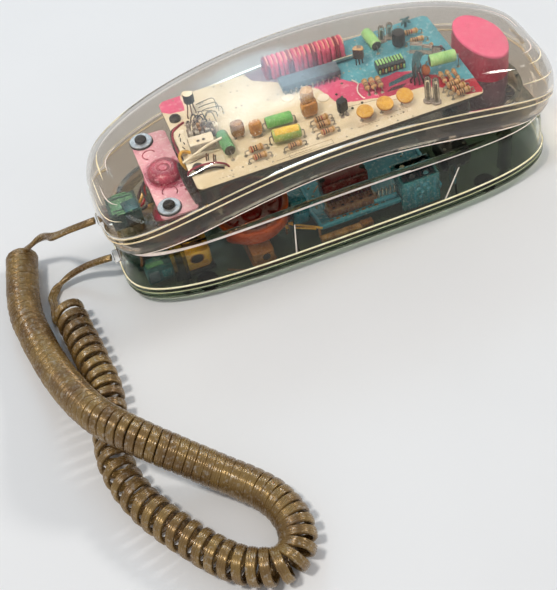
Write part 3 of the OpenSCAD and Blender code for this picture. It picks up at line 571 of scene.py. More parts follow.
def cord_rings():
    n = len(cord_line)
    outs = list(cord_out)
    first = next(i for i in range(n) if outs[i] is not None)
    last = n - 1 - next(i for i in range(n) if outs[n - 1 - i] is not None)
    upright = Vector((0, 0.2, 1)).normalized()
    for i in range(first):
        t = i / first
        outs[i] = upright.lerp(outs[first], t * t * (3 - 2 * t))
    for i in range(last + 1, n):
        t = (n - 1 - i) / (n - 1 - last)
        outs[i] = upright.lerp(outs[last], t * t * (3 - 2 * t))
    rings = []
    for i, p in enumerate(cord_line):
        along = (cord_line[min(i + 1, n - 1)] - cord_line[max(i - 1, 0)]).normalized()
        out = (outs[i] - along * outs[i].dot(along)).normalized()
        wide = along.cross(out)
        rings.append([p + wide * u + out * v for u, v in section])
    return rings

# %% The cord's finish and mesh


def bronze_cord():
    made, tree, shader = new_material("bronze_cord")
    life = mottled(tree, shader, rgb("a8874c"), rgb("86653a"), 90, 0.35, 0.14)
    strand = node(tree, "ShaderNodeAttribute", attribute_name="strand")
    many = node(tree, "ShaderNodeMath", {0: strand.outputs["Fac"], 1: tau * 16}, operation="MULTIPLY")
    lines = node(tree, "ShaderNodeMath", {0: many.outputs[0]}, operation="SINE")
    soft = node(tree, "ShaderNodeMapRange", {"Value": lines.outputs[0], "From Min": -1, "To Min": 0.5})
    shade = node(tree, "ShaderNodeMix",
        {"Factor": 0.75, "A": life.outputs["Colour"], "B": soft.outputs["Result"]}, data_type="RGBA",
        blend_type="MULTIPLY")
    relief(tree, shader, soft.outputs["Result"], 0.35, 0.0003)
    feed(tree, shader, {"Base Color": shade.outputs["Result"], "Metallic": 0.45, "Coat Weight": 0.5,
            "Coat Roughness": 0.15})


bronze_cord()
cord_bench = Bench("bronze_cord")
cord_bench.rings(cord_rings(), "bronze_cord")
cord = cord_bench.make(None, "cord", ("handset_lead", "curly_cord", "base_lead"), 180)
across_cord = cord.data.attributes.new("strand", "FLOAT", "POINT")
per_ring = len(section)
for i in range(min(len(cord.data.vertices), per_ring * len(cord_line))):
    across_cord.data[i].value = (section[i % per_ring][0] / CORD_W) + 0.5

# %% [markdown]
# ## Clear plastic
# Each clear shell is a closed thin wall, so light bends on its way in and out
# and its edges glow, as in the real moulding.  A shadow ray would find it
# solid, so for shadow rays the glass is swapped for a tinted Transparent
# shader: the lamps then reach the boards through the dome.

# %% Clear finishes


def clear(name, tint, shadow, gloss=0.0, bend=1.47, coat=0.0):
    made, tree, shader = new_material(name)
    first = rgb(tint)
    life = mottled(tree, shader, first, [v * 0.97 for v in first[:3]] + [1], 40, 0.0, gloss - 0.1)
    relief(tree, shader, life.outputs["Height"], 0.02, 0.0003)
    feed(tree, shader, {"Transmission Weight": 1.0, "IOR": bend, "Coat Weight": coat,
            "Coat Roughness": 0.03})
    see_through = node(tree, "ShaderNodeBsdfTransparent", {"Color": rgb(shadow)})
    rays = node(tree, "ShaderNodeLightPath")
    either = node(tree, "ShaderNodeMixShader",
        {"Fac": rays.outputs["Is Shadow Ray"], 1: shader.outputs["BSDF"],
            2: see_through.outputs["BSDF"]})
    feed(tree, tree.nodes["Material Output"], {"Surface": either.outputs["Shader"]})


clear("clear_top", "e0dbd4", "f8f6f2", bend=1.38)
clear("clear_face", "c8bcac", "f0ebe2", bend=1.12, coat=0.7)
clear("clear_base", "dcdfd4", "f2f3ee", bend=1.1, coat=0.45)
clear("clear_tray", "929c8e", "a8b4aa", bend=1.08, coat=0.1)
clear("clear_part", "f2f0ec", "f4f2ee", gloss=0.02)
# painted highlights: the three finishes below glow a little by emission and stand for light caught on
# clear edges; the last is faint and mostly see-through
for name, first, second, glow, alpha in (("edge_light", "f6ecd2", "e2d0a4", 0.28, 1.0),
        ("rim_light", "f3e9e4", "e0cfc8", 0.3, 0.72), ("haze_light", "eee6da", "d8ccbc", 0.1, 0.3)):
    shader = opaque(name, first, second, 200, 0.3, 0.25, 0.02)
    feed(None, shader, {"Alpha": alpha, "Emission Color": rgb(first), "Emission Strength": glow})
print("clear finishes made")

# %% [markdown]
# ## The shells' plan
# Every shell has a superellipse for its plan, squarer than an ellipse and with
# no flat side.  Its points are spread evenly round the outline, and they come
# in mirror pairs so that a ring can be zipped shut along its middle line.

# %% Plan and section functions
HANDSET_L, HANDSET_W, HANDSET_SQ = 215, 70, 4.3
BASE_L, BASE_W, BASE_SQ = 210, 68.4, 3.8
WALL, DOME_H, DOME_SQ = 2.2, 19.7, 5.2
SEAM_LOW, SEAM_RISE = 43.6, 20.9
FACE_LOW, FACE_RISE, RIM_RISE = 31, 16.7, 5
DECK_Z, RIM_Z, TRAY_Z, FOOT_H = 28.4, 30.6, 9, 1.6
HALF_PLAN = 76


def plan(length, width, sq):
    dense = []
    for i in range(2401):
        a = pi * i / 2400
        c, s = cos(a), sin(a)
        dense.append((copysign(abs(c) ** (2 / sq), c), abs(s) ** (2 / sq)))
    far = [0.0]
    for (x0, y0), (x1, y1) in zip(dense, dense[1:]):
        far.append(far[-1] + hypot((x1 - x0) * length / 2, (y1 - y0) * width / 2))
    upper, k = [], 0
    for i in range(HALF_PLAN + 1):
        goal = far[-1] * i / HALF_PLAN
        while k < len(far) - 2 and far[k + 1] < goal:
            k += 1
        upper.append(dense[k] if i < HALF_PLAN else dense[-1])
    upper[0], upper[-1] = (1.0, 0.0), (-1.0, 0.0)
    return upper + [(x, -y) for x, y in reversed(upper[1:-1])]


def seam_at(s):
    return SEAM_LOW + SEAM_RISE * (1 - s * s)


def face_at(s):
    return FACE_LOW + FACE_RISE * (1 - min(1, s * s)) ** 1.5


def rim_at(s):
    return RIM_Z + RIM_RISE * (1 - s * s)


handset_plan = plan(HANDSET_L, HANDSET_W, HANDSET_SQ)
base_plan = plan(BASE_L, BASE_W, BASE_SQ)


def dome_ring(angle, inset, lift):
    a = radians(angle)
    rise, draw = sin(a) ** (2 / DOME_SQ), cos(a) ** (2 / DOME_SQ)
    slope = 0.9 + 0.1 * sqrt(max(0, 1 - rise * rise))
    return [(x * (HANDSET_L / 2 - inset) * slope, y * (HANDSET_W / 2 - inset) * draw,
            seam_at(x) + lift + (DOME_H - inset) * rise) for x, y in handset_plan]


def face_ring(inset, depth, lift):
    return [(x * (HANDSET_L / 2 - inset), y * (HANDSET_W / 2 - inset),
            seam_at(x) + depth * (face_at(x) - seam_at(x)) + lift) for x, y in handset_plan]


def base_ring(inset, height):
    return [(x * (BASE_L / 2 - inset), y * (BASE_W / 2 - inset),
            height(x) if callable(height) else height) for x, y in base_plan]


def skin(bench, rings, finish):
    """a closed skin over rings, zipped shut at both ends"""
    n = len(rings[0])
    start = len(bench.points)
    bench.rings(rings, finish, (False, False))
    for base in (start, start + (len(rings) - 1) * n):
        for i in range(HALF_PLAN):
            a, b = i, i + 1
            quad = [a, b, (n - b) % n, (n - a) % n]
            bench.faces.append([base + q for q in dict.fromkeys(quad)])
            bench.picks.append(bench.pick(finish))


def between(stops, steps):
    """more rings between the stops of a section, on straight lines between them"""
    out = []
    for i in range(len(stops) - 1):
        for k in range(steps):
            t = k / steps
            out.append(tuple(a + (b - a) * t for a, b in zip(stops[i], stops[i + 1])))
    return out + [stops[-1]]


print("plans of", len(handset_plan), "points")

# %% [markdown]
# ## Top shell
# The dome is a stack of rings from the seam to the ridge, once for the outer
# face and once for the inner one, joined at the seam by a flat edge.

# %% Top shell
DOME_ANGLES = [0, 1.5, 4, 8, 13, 20, 28, 36, 44, 52, 58, 64, 70, 75, 79.5, 83, 85.5, 87, 88, 89, 89.7]
top = Bench("clear_top_shell")
skin(top, [dome_ring(a, WALL, 0.15) for a in reversed(DOME_ANGLES)]
    + [dome_ring(a, 0, 0.15) for a in DOME_ANGLES], "clear_top")
top.make("handset", "clear_top", ("top_shell",), 50)

# %% [markdown]
# ## Booleans with care
# The lower shells have pockets and openings, so they start as closed skins and
# are cut by plain solids.  The helper applies each cut at once and throws the
# cutter away, so what is left is an ordinary mesh.

# %% Cutting helper


def loose(bench):
    """a bench's mesh as an object that rides on nothing, to cut or join with"""
    return bench.make(None, smooth=180)


def cut(target, tools, how):
    for tool in tools:
        step = target.modifiers.new("cut", "BOOLEAN")
        step.operation, step.object, step.solver = how, tool, "EXACT"
    bpy.context.view_layer.update()
    ready = target.evaluated_get(bpy.context.evaluated_depsgraph_get())
    mesh = bpy.data.meshes.new_from_object(ready)
    target.modifiers.clear()
    target.data = mesh
    for tool in tools:
        bpy.data.objects.remove(tool)


def round_tool(finish, foot, profile, n=24):
    """an upright lathe to cut or join with"""
    bench = Bench("tool")
    bench.lathe(foot, profile, finish, n)
    return loose(bench)


def box_tool(finish, centre, size, round_off=0.1, corner=None):
    bench = Bench("tool")
    bench.block(centre, size, finish, round_off, corner)
    return loose(bench)


def finish_shell(target, body, node_name):
    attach(target, body)
    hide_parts(node_name)
    target.data.polygons.foreach_set("use_smooth", [True] * len(target.data.polygons))
    target.data.set_sharp_from_angle(angle=radians(40))
    print(target.name, "has", len(target.data.polygons), "faces")

# %% [markdown]
# ## Face shell
# Its section falls from the seam to the face, with a small step that makes the
# double seam line.  Two round cups hold the capsule and the microphone, and the
# keypad shows through an opening between them.

# %% Face shell
CUP_X, CUP_R, CUP_FLOOR, CUP_WALL = 77, 20, 28.7, 2
JACK_X, JACK_Z = -102.4, 39
SCREW_X, SCREW_Y = -77.8, (19, -24.6)
POST_X, POST_Y = (-58, 58), (-24, 24)
face = Bench("clear_face_shell")
outer = between([(9, 1, 0), (5, 0.97, 0), (3, 0.86, 0), (1.6, 0.6, 0), (1, 0.2, 0)], 3)
inner = between([(WALL, 0, 0), (WALL + 1.8, 0.6, 0.4), (WALL + 3.2, 0.86, 0.8), (WALL + 7.5, 1, WALL)],
    3)
skin(face, [face_ring(*r) for r in outer + [(0, 0.19, 0), (0, 0, 0)] + inner], "clear_face")
face_shell = loose(face)


def face_post(x, y, r, top_z):
    foot = face_at(x / (HANDSET_L / 2)) + 1
    return round_tool("clear_face", (x, y, foot), [(r, 0), (r, top_z - foot)])


cut(face_shell, [round_tool("clear_face", (side * CUP_X, 0, CUP_FLOOR),
        [(CUP_R - 0.6, 0), (CUP_R, 0.6), (CUP_R, 14)], 72) for side in (-1, 1)]
    + [face_post(x, y, 2.8, 62.9) for x in POST_X for y in POST_Y]
    + [face_post(SCREW_X, y, 3.6, 54) for y in SCREW_Y], "UNION")
pockets = [round_tool("clear_face", (side * CUP_X, 0, CUP_FLOOR + CUP_WALL),
        [(CUP_R - CUP_WALL, 0), (CUP_R - CUP_WALL, 20)], 72) for side in (-1, 1)]
pockets += [box_tool("clear_face", (0, 0, 40), (54, 43, 14), 0.3, 3),
    box_tool("clear_face", (JACK_X - 6, 0, JACK_Z - 3.4), (13, 8.2, 6.8)),
    box_tool("clear_face", (JACK_X + 7, 0, JACK_Z - 4.4), (14.6, 12.6, 20))]
HOLE_STEP = 4.4


def sound_holes(side):
    """a middle hole, then rings of six and twelve round it"""
    bench = Bench("tool")
    spots = [(0.0, 0.0)] + [(HOLE_STEP * row * cos(tau * k / (6 * row)),
            HOLE_STEP * row * sin(tau * k / (6 * row))) for row in (1, 2) for k in range(6 * row)]
    for x, y in spots:
        bench.lathe((side * CUP_X + x, y, CUP_FLOOR - 1), [(1, 0), (1, 5)], "clear_face", 14)
    return loose(bench)


cut(face_shell, pockets + [sound_holes(side) for side in (-1, 1)], "DIFFERENCE")
finish_shell(face_shell, "handset", "face_shell")

# %% [markdown]
# ## Cradle and tray
# The base has a rounded rim that rises a little towards the middle, a sunk deck
# for the handset, and a tray below it.  Cradle and tray meet in a band, which
# gives the second double line.

# %% Cradle shell
PLUNGER_X, SOCKET_X, KNOB_X = 62, -46, 20
BASE_JACK_X, BASE_JACK_Z = -101, 14
DECK_UNDER = DECK_Z - WALL


def drop(amount):
    return lambda s: rim_at(s) - amount


cradle = Bench("clear_cradle")
skin(cradle, [base_ring(*r) for r in (
            (13, DECK_UNDER), (10, DECK_UNDER), (7.2, DECK_UNDER), (5.4, DECK_UNDER - 0.5), (4.6,
                DECK_UNDER - 1.4),
            (3.9, 20), (3.3, 15.5), (WALL + 0.5, TRAY_Z + 2), (WALL, TRAY_Z), (0, TRAY_Z), (0,
                TRAY_Z + 2.4),
            (0.5, TRAY_Z + 2.4), (0.9, drop(15)), (1.25, drop(9)), (1.7, drop(3.4)), (1.85,
                drop(2.4)), (2.1, drop(1.6)),
            (2.5, drop(0.95)), (3.1, drop(0.5)), (3.8, drop(0.15)), (4.6, drop(0)), (5.2,
                drop(0.08)), (5.8, drop(0.3)),
            (6.3, drop(0.7)), (6.8, drop(1.2)), (7.6,
                lambda s: (drop(1.2)(s) + DECK_Z) / 2 - 0.1), (8.4, DECK_Z),
            (13, DECK_Z))], "clear_base")
cradle_shell = loose(cradle)
cut(cradle_shell, [box_tool("clear_base", (x, side * (BASE_W / 2 - 4.4), TRAY_Z),
        (2.4, 4.6, DECK_UNDER - TRAY_Z), 0.2) for x in (-28.5, 50) for side in (-1, 1)]
    + [round_tool("clear_base", (PLUNGER_X, 0, DECK_UNDER - 1.4), [(5.9, 0), (5.9, 2)], 48)], "UNION")
cut(cradle_shell, [round_tool("clear_base", (PLUNGER_X, 0, DECK_UNDER - 3), [(3.56, 0), (3.56, 8)], 48),
        box_tool("clear_base", (BASE_JACK_X - 6, 0, BASE_JACK_Z - 3.4), (13, 8.2, 6.8)),
        box_tool("clear_base", (SOCKET_X, BASE_W / 2, 12.6), (8.2, 14, 6.8)),
        box_tool("clear_base", (KNOB_X, BASE_W / 2, 13.7), (13, 14, 4.6))], "DIFFERENCE")
finish_shell(cradle_shell, "base", "cradle_shell")

# %% Base tray
tray = Bench("clear_tray")
z = FOOT_H
skin(tray, [base_ring(*r) for r in (
            (7, z), (5, z), (3.4, z + 0.3), (2.2, z + 0.9), (1.5, z + 1.6), (0.9, z + 2.8), (0.5,
                z + 4), (0.5, TRAY_Z - 2.4),
            (0, TRAY_Z - 2.4), (0, TRAY_Z - 0.15), (WALL, TRAY_Z - 0.15), (WALL + 0.8,
                z + 3.4), (WALL + 1.6, z + 2.7),
            (WALL + 3, z + WALL))], "clear_tray")
tray_shell = loose(tray)
CORNERS = [(-1, -1), (-1, 1), (1, -1), (1, 1)]
FIXING_X, FIXING_Y = 80, 21
cut(tray_shell, [round_tool("clear_tray", (17 + x * 27, y * 18.2, z + WALL - 0.5),
        [(2.6, 0), (2.6, 8.4 - z - WALL + 0.5)]) for x, y in CORNERS]
    + [round_tool("clear_tray", (FIXING_X * x, FIXING_Y * y, z + WALL - 0.5),
        [(3.4, 0), (3.4, DECK_UNDER - z - WALL + 0.4)]) for x, y in CORNERS], "UNION")
cut(tray_shell, [round_tool("clear_tray", (FIXING_X * x, FIXING_Y * y, z - 1), [(1.5, 0), (1.5, 30)])
        for x, y in CORNERS], "DIFFERENCE")
finish_shell(tray_shell, "base", "base_tray")

# %% [markdown]
# ## Seam lines
# Where two clear mouldings meet, the polished edges catch the light as thin
# cream lines.  Each is a painted highlight: a fine bead that glows a little,
# laid along the edge it belongs to, and a bead may swell and thin out as a
# highlight does.

# %% Seam beads


def bead(name, path, radius, body, finish="edge_light", closed=True):
    """a round thread along a path; radius is one value or one for each point"""
    bench = Bench(name)
    path = [Vector(p) for p in path]
    n = len(path)
    sizes = radius if isinstance(radius, list) else [radius] * n
    rings = []
    for i, p in enumerate(path):
        after = path[(i + 1) % n] if closed else path[min(i + 1, n - 1)]
        before = path[i - 1] if closed else path[max(i - 1, 0)]
        side, up = across((after - before).normalized())
        rings.append([p + (side * cos(tau * k / 6) + up * sin(tau * k / 6)) * sizes[i]
                for k in range(6)])
    bench.rings(rings + rings[:1] if closed else rings, finish, (not closed, not closed))
    return bench.make(body, "clear_top" if body == "handset" else "clear_base", smooth=180)


bead("seam_line_upper", face_ring(0.5, 0, -0.15), 0.42, "handset")
bead("seam_line_lower", face_ring(0.5, 0.2, 0), 0.38, "handset")
bead("base_line_upper", base_ring(0.5, TRAY_Z + 2.1), 0.42, "base")
bead("base_line_lower", base_ring(0.45, TRAY_Z - 0.6), 0.36, "base")
bead("base_line_foot", base_ring(0.9, FOOT_H + 2.6), 0.24, "base", "haze_light")
bead("cradle_rim_line", base_ring(2.6, drop(0.9)), 0.26, "base", "rim_light")
bead("face_edge_line", face_ring(5.0, 0.985, -0.1), 0.22, "handset", "rim_light")

# %% [markdown]
# ## Painted highlights that stay put
# Some edges shine more than their neighbours: the rim of the cradle near the
# cord, the thick corners of the dome and two ribs in the base.  Each shine is a
# painted highlight, a glowing bead that stays where it is whatever the lamps do.

# %% Highlights
near_rim = [Vector(p) for p in base_ring(2.9, drop(0.6)) if p[1] < -6 and p[0] < 30]
near_rim.sort(key=lambda p: p.x)
bead("cradle_rim_shine", near_rim, [0.16 + 0.6 * exp(-((p.x + 88) / 14) ** 2) + 0.22
        * exp(-((p.x + 54) / 12) ** 2) for p in near_rim], "base", "rim_light", closed=False)
for k, (low_end, high_end) in enumerate((((-28.9, -31.7, 9.7), (-27.2, -29.6, 25.2)),
            ((44.8, -31.6, 9.7), (53.0, -29.2, 24.6)))):
    bead("rib_line_%d" % (k + 1), [low_end, high_end], [0.42, 0.3], "base", "rim_light", closed=False)


def dome_arc(angle, first, last, inset=0.7):
    ring = dome_ring(angle, inset, 0.15)
    return [ring[i] for i in range(first, last + 1)]


def swelling(path, most):
    n = len(path) - 1
    return [0.06 + most * sin(pi * i / n) for i in range(n + 1)]


ARCS = ((24, 74, 80, 0.34, "edge_light"), (58, 70, 77, 0.36, "edge_light"),
    (84, 68, 76, 0.24, "rim_light"), (10, 76, 84, 0.3, "edge_light"), (40, 77, 83, 0.26, "rim_light"),
    (46, 142, 149, 0.32, "edge_light"), (10, 139, 146, 0.3, "edge_light"),
    (66, 2, 10, 0.22, "rim_light"), (70, 143, 150, 0.3, "rim_light"),
    (52, 146, 151, 0.24, "haze_light"))
for k, (angle, first, last, most, finish) in enumerate(ARCS):
    arc = dome_arc(angle, first, last)
    bead("dome_arc_%d" % (k + 1), arc, swelling(arc, most), "handset", finish, closed=False)
for k, (x, y0, y1, z0, z1, most) in enumerate(((96, -20, -12, 48, 52, 0.8), (100, -16, -8, 50, 54, 0.6),
            (90, -26, -22, 50, 57, 0.5))):
    path = [(x + 0.6 * sin(t * 3), y0 + (y1 - y0) * t, z0 + (z1 - z0) * t)
        for t in (0, 0.25, 0.5, 0.75, 1)]
    bead("end_glint_%d" % (k + 1), path, swelling(path, most), "handset", "haze_light", closed=False)

# %% [markdown]
# ## Main board
# The board is cream at the cord end, rose in the middle and turquoise at the
# far end.  Each area is a thin coat of colour laid on the board, with the
# crisp, wandering borders that a print has.  Fine outlines and dashes follow.

# %% The board's finishes
BOARD_FINISHES = [
    ("board_cream", "e3d7bf", "d3c3a2", 60, 0.3, 0.42),
    ("board_rose", "dc5a84", "cc4a72", 90, 0.25, 0.42),
    ("board_crimson", "b4345c", "a02a48", 90, 0.15, 0.42),
    ("board_red", "a91a32", "981428", 90, 0.1, 0.42),
    ("board_mauve", "8f7078", "74606c", 120, 0.35, 0.42),
    ("board_turquoise", "55a2b4", "4a8ea0", 90, 0.3, 0.42),
    # the next two finishes are painted shade for the board's side and underside
    ("board_side", "6e5a40", "55452f", 300, 0.1, 0.5),
    ("board_under", "3f3a2c", "33302a", 120, 0.1, 0.5),
    ("silk_grey", "8f8672", "7c745f", 400, 0.1, 0.5, 0.02),
    ("screw_black", "24201e", "33302e", 500, 0.2, 0.38),
    ("pale_strip", "efe8d8", "dfd2b8", 200, 0.2, 0.4),
    ("brush_grey", "9d9088", "75685f", 900, 0.5, 0.4, 0.2),
    ("boot_lit_top", "ee5f8c", "e65684", 60, 0.1, 0.5, 0.03),
    ("boot_shaded_side", "bc2c4c", "98203c", 140, 0.15, 0.42),
    ("boot_shaded_low", "74525e", "5c404c", 120, 0.3, 0.4),
    ("strap_pink", "efbcc8", "dc94a8", 130, 0.6, 0.42, 0.08),
    ("boss_crimson", "b02c50", "8a1c3c", 160, 0.3, 0.3, 0.05, 0, 0.6),
    ("boss_pale", "d87c94", "bc5872", 500, 0.7, 0.3, 0.1, 0, 0.5)]
for row in BOARD_FINISHES:
    opaque(*row)
BOARD = 64.5
print("board's finishes made")


def area(bench, points, finish, z, thick=0.04):
    """a thin coat of colour inside an outline"""
    n = len(points)
    bench.add([(x, y, z + thick) for x, y in points] + [(x, y, z) for x, y in points],
        [list(range(n))] + [[i, n + i, n + (i + 1) % n, (i + 1) % n] for i in range(n)], finish)


def wander(points, amount, seed, parts=4):
    """break an outline's long sides up with small random steps"""
    dice = random.Random(seed)
    out = []
    for (x0, y0), (x1, y1) in zip(points, points[1:] + points[:1]):
        out.append((x0, y0))
        if abs(x0) > 64.4 and abs(x1) > 64.4 or abs(y0) > 30 and abs(y1) > 30:
            continue
        for k in range(1, parts):
            t = k / parts
            out.append((x0 + (x1 - x0) * t + dice.uniform(-amount, amount),
                    y0 + (y1 - y0) * t + dice.uniform(-amount, amount)))
    return out

# %% Main board and its print
board = Bench("main_board_dressed", BOARD)
# the dark brown side and the darker underside of the board are painted shade
board.blocks(
    ((0, 0, -1.6), (130, 61, 1.0), "board_under", 0.1, 2.5),
    ((0, 0, -0.62), (130, 61, 0.5), "board_side", 0.1, 2.5),
    ((0, 0, -0.14), (130, 61, 0.14), "board_cream", 0.06, 2.5))
ROSE = [(-5, 12), (2, 5), (5, -4), (6, -8), (10, -9), (24, -13), (22, -1.2), (19, 0), (13, 7), (12, 11)]
CRIMSON = [(24, -13), (28, -14), (43, -15), (50, -19), (47, -8), (44, -4), (37, -1), (29, -2),
    (22, -1.2)]
RED = [(50, -19), (55.5, -24.2), (58, -28), (64.2, -29.6), (65, -28), (65, -20.5), (60, -19.4),
    (53, -12), (47, -8)]
TURQUOISE = [(12, 11), (13, 7), (19, 0), (29, -2), (37, -1), (44, -4), (47, -8), (53, -12), (60, -19.4),
    (65, -20.5), (65, 28.5), (63, 30.5), (12, 30.5)]
MAUVE = [(-24, 30.5), (-22, 24), (-14, 19), (-5, 12), (12, 11), (12, 30.5)]
PATCH = [(-65, 28), (-63, 30.5), (-54.5, 30.5), (-55.5, 19.5), (-62.5, 20.5), (-65, 23)]
for seed, (shape, finish) in enumerate(((ROSE, "board_rose"), (CRIMSON, "board_crimson"),
            (RED, "board_red"), (TURQUOISE, "board_turquoise"), (MAUVE, "board_mauve"),
            (PATCH, "board_rose"))):
    area(board, wander(shape, 0.25, seed), finish, 0.002 * seed - 0.01)
area(board, [(30, -8.6), (44, -7), (45.4, -5), (40, -4.4), (31, -6.4)], "dark_teal", 0.03, 0.03)
area(board, [(28, -11), (35, -11.6), (38, -9.8), (31, -9.4)], "maroon_wire", 0.03, 0.03)
for x0, y0, x1, y1 in ((-24, -29.6, -4.5, -29.6), (-24, -27, -4.5, -27), (-24, -29.6, -24, -27),
        (-4.5, -29.6, -4.5, -27), (4, -11.4, 24, -13.6), (-14, -28.6, -30, -28.8),
        (24.4, -16.4, 31, -16.8)):
    board.rod((x0, y0, 0.05), (x1, y1, 0.05), 0.09, "silk_grey", 5)
dice = random.Random(5)
for centre_x, centre_y, count in ((-51, -27.9, 5), (14, -25.6, 7), (27, -26, 7), (30, -23.4, 4),
        (-18, -28.3, 4), (-30, -25.8, 3)):
    for k in range(count):
        x = centre_x + (k - count / 2) * 1.5
        a = dice.uniform(0, 3.1)
        dx, dy = 0.5 * cos(a), 0.5 * sin(a)
        board.rod((x - dx, centre_y - dy, 0.05), (x + dx, centre_y + dy, 0.05), 0.09, "silk_grey", 5)
for x in range(-60, 61, 5):
    for y in (-28.8, -25.4, 9.4, 21.4, 28.4):
        if dice.random() < 0.55:
            board.lathe((x + dice.uniform(-2, 2), y + dice.uniform(-1, 1), 0),
                [(0.5, 0), (0.48, 0.06), (0.2, 0.16)], "pad_solder", 8)
for x, y in ((1.8, -2.0), (-12, 5.4)):
    board.lathe((x, y, 0), [(2.7, 0), (2.6, 0.5), (2.1, 0.75), (0.4, 0.8)], "pale_strip", 24)
for x in range(-26, 27, 4):
    board.rod((x, -19.5, -8.4), (x, -19.5, -1.5), 0.4, "tinned", 8)
board.make("handset", "cream_board", smooth=30)

# %% [markdown]
# ## Parts with a wire at each end
# Resistors and tubular capacitors are lathes laid on their side.  One helper
# makes the legs with their little pads of solder, and the colour bands are
# bands of the lathe itself.

# %% Resistors


def pad(bench, at, r=0.85):
    bench.lathe(at, [(r, 0), (r, 0.06), (r * 0.55, 0.3), (0.3, 0.7)], "pad_solder", 10)


def lying(bench, x, y, turn, length, lift, legs, profile, finishes, n=16):
    """profile is (place along, radius), both in mm, from one end to the other"""
    a = radians(turn)
    along = Vector((cos(a), sin(a), 0))
    middle = Vector((x, y, lift))
    bench.lathe(middle - along * length / 2, [(r, t) for t, r in profile], None, n, axis=along,
        finishes=finishes)
    for way in (-1, 1):
        foot = Vector((x, y, 0)) + along * way * legs
        bench.wire([middle + along * way * (length / 2 - 0.2), middle + along * way * (legs - 0.7),
                foot + UP * (lift - 0.5), foot], 0.28, "tinned", 6, 3)
        pad(bench, foot)


def resistor(bench, x, y, turn, r, legs, bands, body="resistor_body", length=6.5):
    marks = [0, 0.02, 0.07, 0.14, 0.22, 0.3, 0.38, 0.46, 0.54, 0.62, 0.78, 0.86, 0.93, 0.98, 1]
    profile, finishes = [], []
    for t in marks:
        swell = max(0, 1 - abs(t - 0.17) / 0.14) + max(0, 1 - abs(t - 0.83) / 0.14)
        end = min(1, 0.45 + 12 * min(t, 1 - t))
        profile.append((t * length, r * (0.84 + 0.18 * min(1, 1.4 * swell)) * end))
    for a, b in zip(marks, marks[1:]):
        finishes.append({0.14: bands[0], 0.3: bands[1], 0.46: bands[2], 0.78: "band_gold"}.get(a, body))
    lying(bench, x, y, turn, length, 2.2, legs, profile, finishes)


BANDS = [("band_brown", "band_black", "band_brown"), ("band_red", "band_black", "band_brown"),
    ("band_brown", "band_brown", "band_black"), ("band_black", "band_brown", "band_red")]
resistors = Bench("resistors_dressed", BOARD)
k = 0
for x, y, turn, count, dx, dy in ((-35.6, -20, 2, 2, 0, -4.9), (-20, -25.2, 2, 1, 0, 0),
        (-4.4, -15.6, 3, 2, -0.4, -3.6), (-4.6, -23.8, 2, 1, 0, 0), (20.8, -5, 84, 3, 2.9, -0.5),
        (52, -16.2, 86, 3, 2.9, -0.4), (54.6, -21.6, 5, 3, 0.8, -3), (53, 19, -6, 2, 0, -6.4)):
    for step in range(count):
        bands = BANDS[k % 4]
        if (x, step) == (-35.6, 0):
            bands = ("band_red", "band_black", "band_black")
        resistor(resistors, x + step * dx, y + step * dy, turn, 1.0 if x == 52 else 1.3,
            4.2 if turn > 80 else 5, bands)
        k += 1
resistors.make("handset", "resistor")

# %% Tubular capacitors


def sleeve(bench, x, y, turn, length, r, lift, legs, finish, stripe=None):
    profile = [(0, r * 0.5), (0.02 * length, r * 0.86), (0.07 * length, r), (0.14 * length, r),
        (0.16 * length, r * 0.955), (0.18 * length, r), (0.93 * length, r), (0.98 * length, r * 0.86),
        (length, r * 0.5)]
    lying(bench, x, y, turn, length, lift, legs, profile,
        ["sleeve_end", finish, finish, finish, finish, finish, finish, "sleeve_end"], 24)
    if stripe:
        a = radians(turn)
        along, side = Vector((cos(a), sin(a), 0)), Vector((-sin(a), cos(a), 0))
        start = Vector((x, y, lift)) - along * length * 0.4
        rows = []
        for t in (0, 0.25, 0.5, 0.75, 1):
            rows.append([start + along * length * 0.82 * t
                    + (side * cos(radians(w)) + UP * sin(radians(w))) * (r + 0.04)
                    for w in range(55, 140, 12)])
        n = len(rows[0])
        bench.add([p for row in rows for p in row],
            [[i * n + j, i * n + j + 1, (i + 1) * n + j + 1, (i + 1) * n + j]
                for i in range(len(rows) - 1) for j in range(n - 1)], stripe)


opaque("gold_stripe", "e6c64a", "d2a838", 500, 0.5, 0.28, 0.05, 0, 0.5)
tubes = Bench("green_capacitors_dressed", BOARD)
sleeve(tubes, -46.4, -13, 91, 11.5, 2.7, 3.6, 6.9, "speckled_green")
sleeve(tubes, -21.4, -9.8, -4, 12, 2.5, 3.4, 7.2, "green_sleeve")
sleeve(tubes, -21.4, -19.4, -7, 12.6, 2.7, 3.8, 7.5, "gold_green_sleeve", "gold_stripe")
sleeve(tubes, 55, -9.8, -8, 12, 2.6, 6.4, 7.2, "pale_green_sleeve")
sleeve(tubes, 34.6, 21.6, 92, 12, 2.6, 3.4, 7.2, "pale_green_sleeve")
tubes.make("handset", "green_plastic")

# %% [markdown]
# ## Discs, dipped blocks and transistors
# Ceramic discs lie nearly flat on their legs.  The amber blocks are dipped in
# resin, so all their edges are round; the tall one is a round cap on a square
# foot.

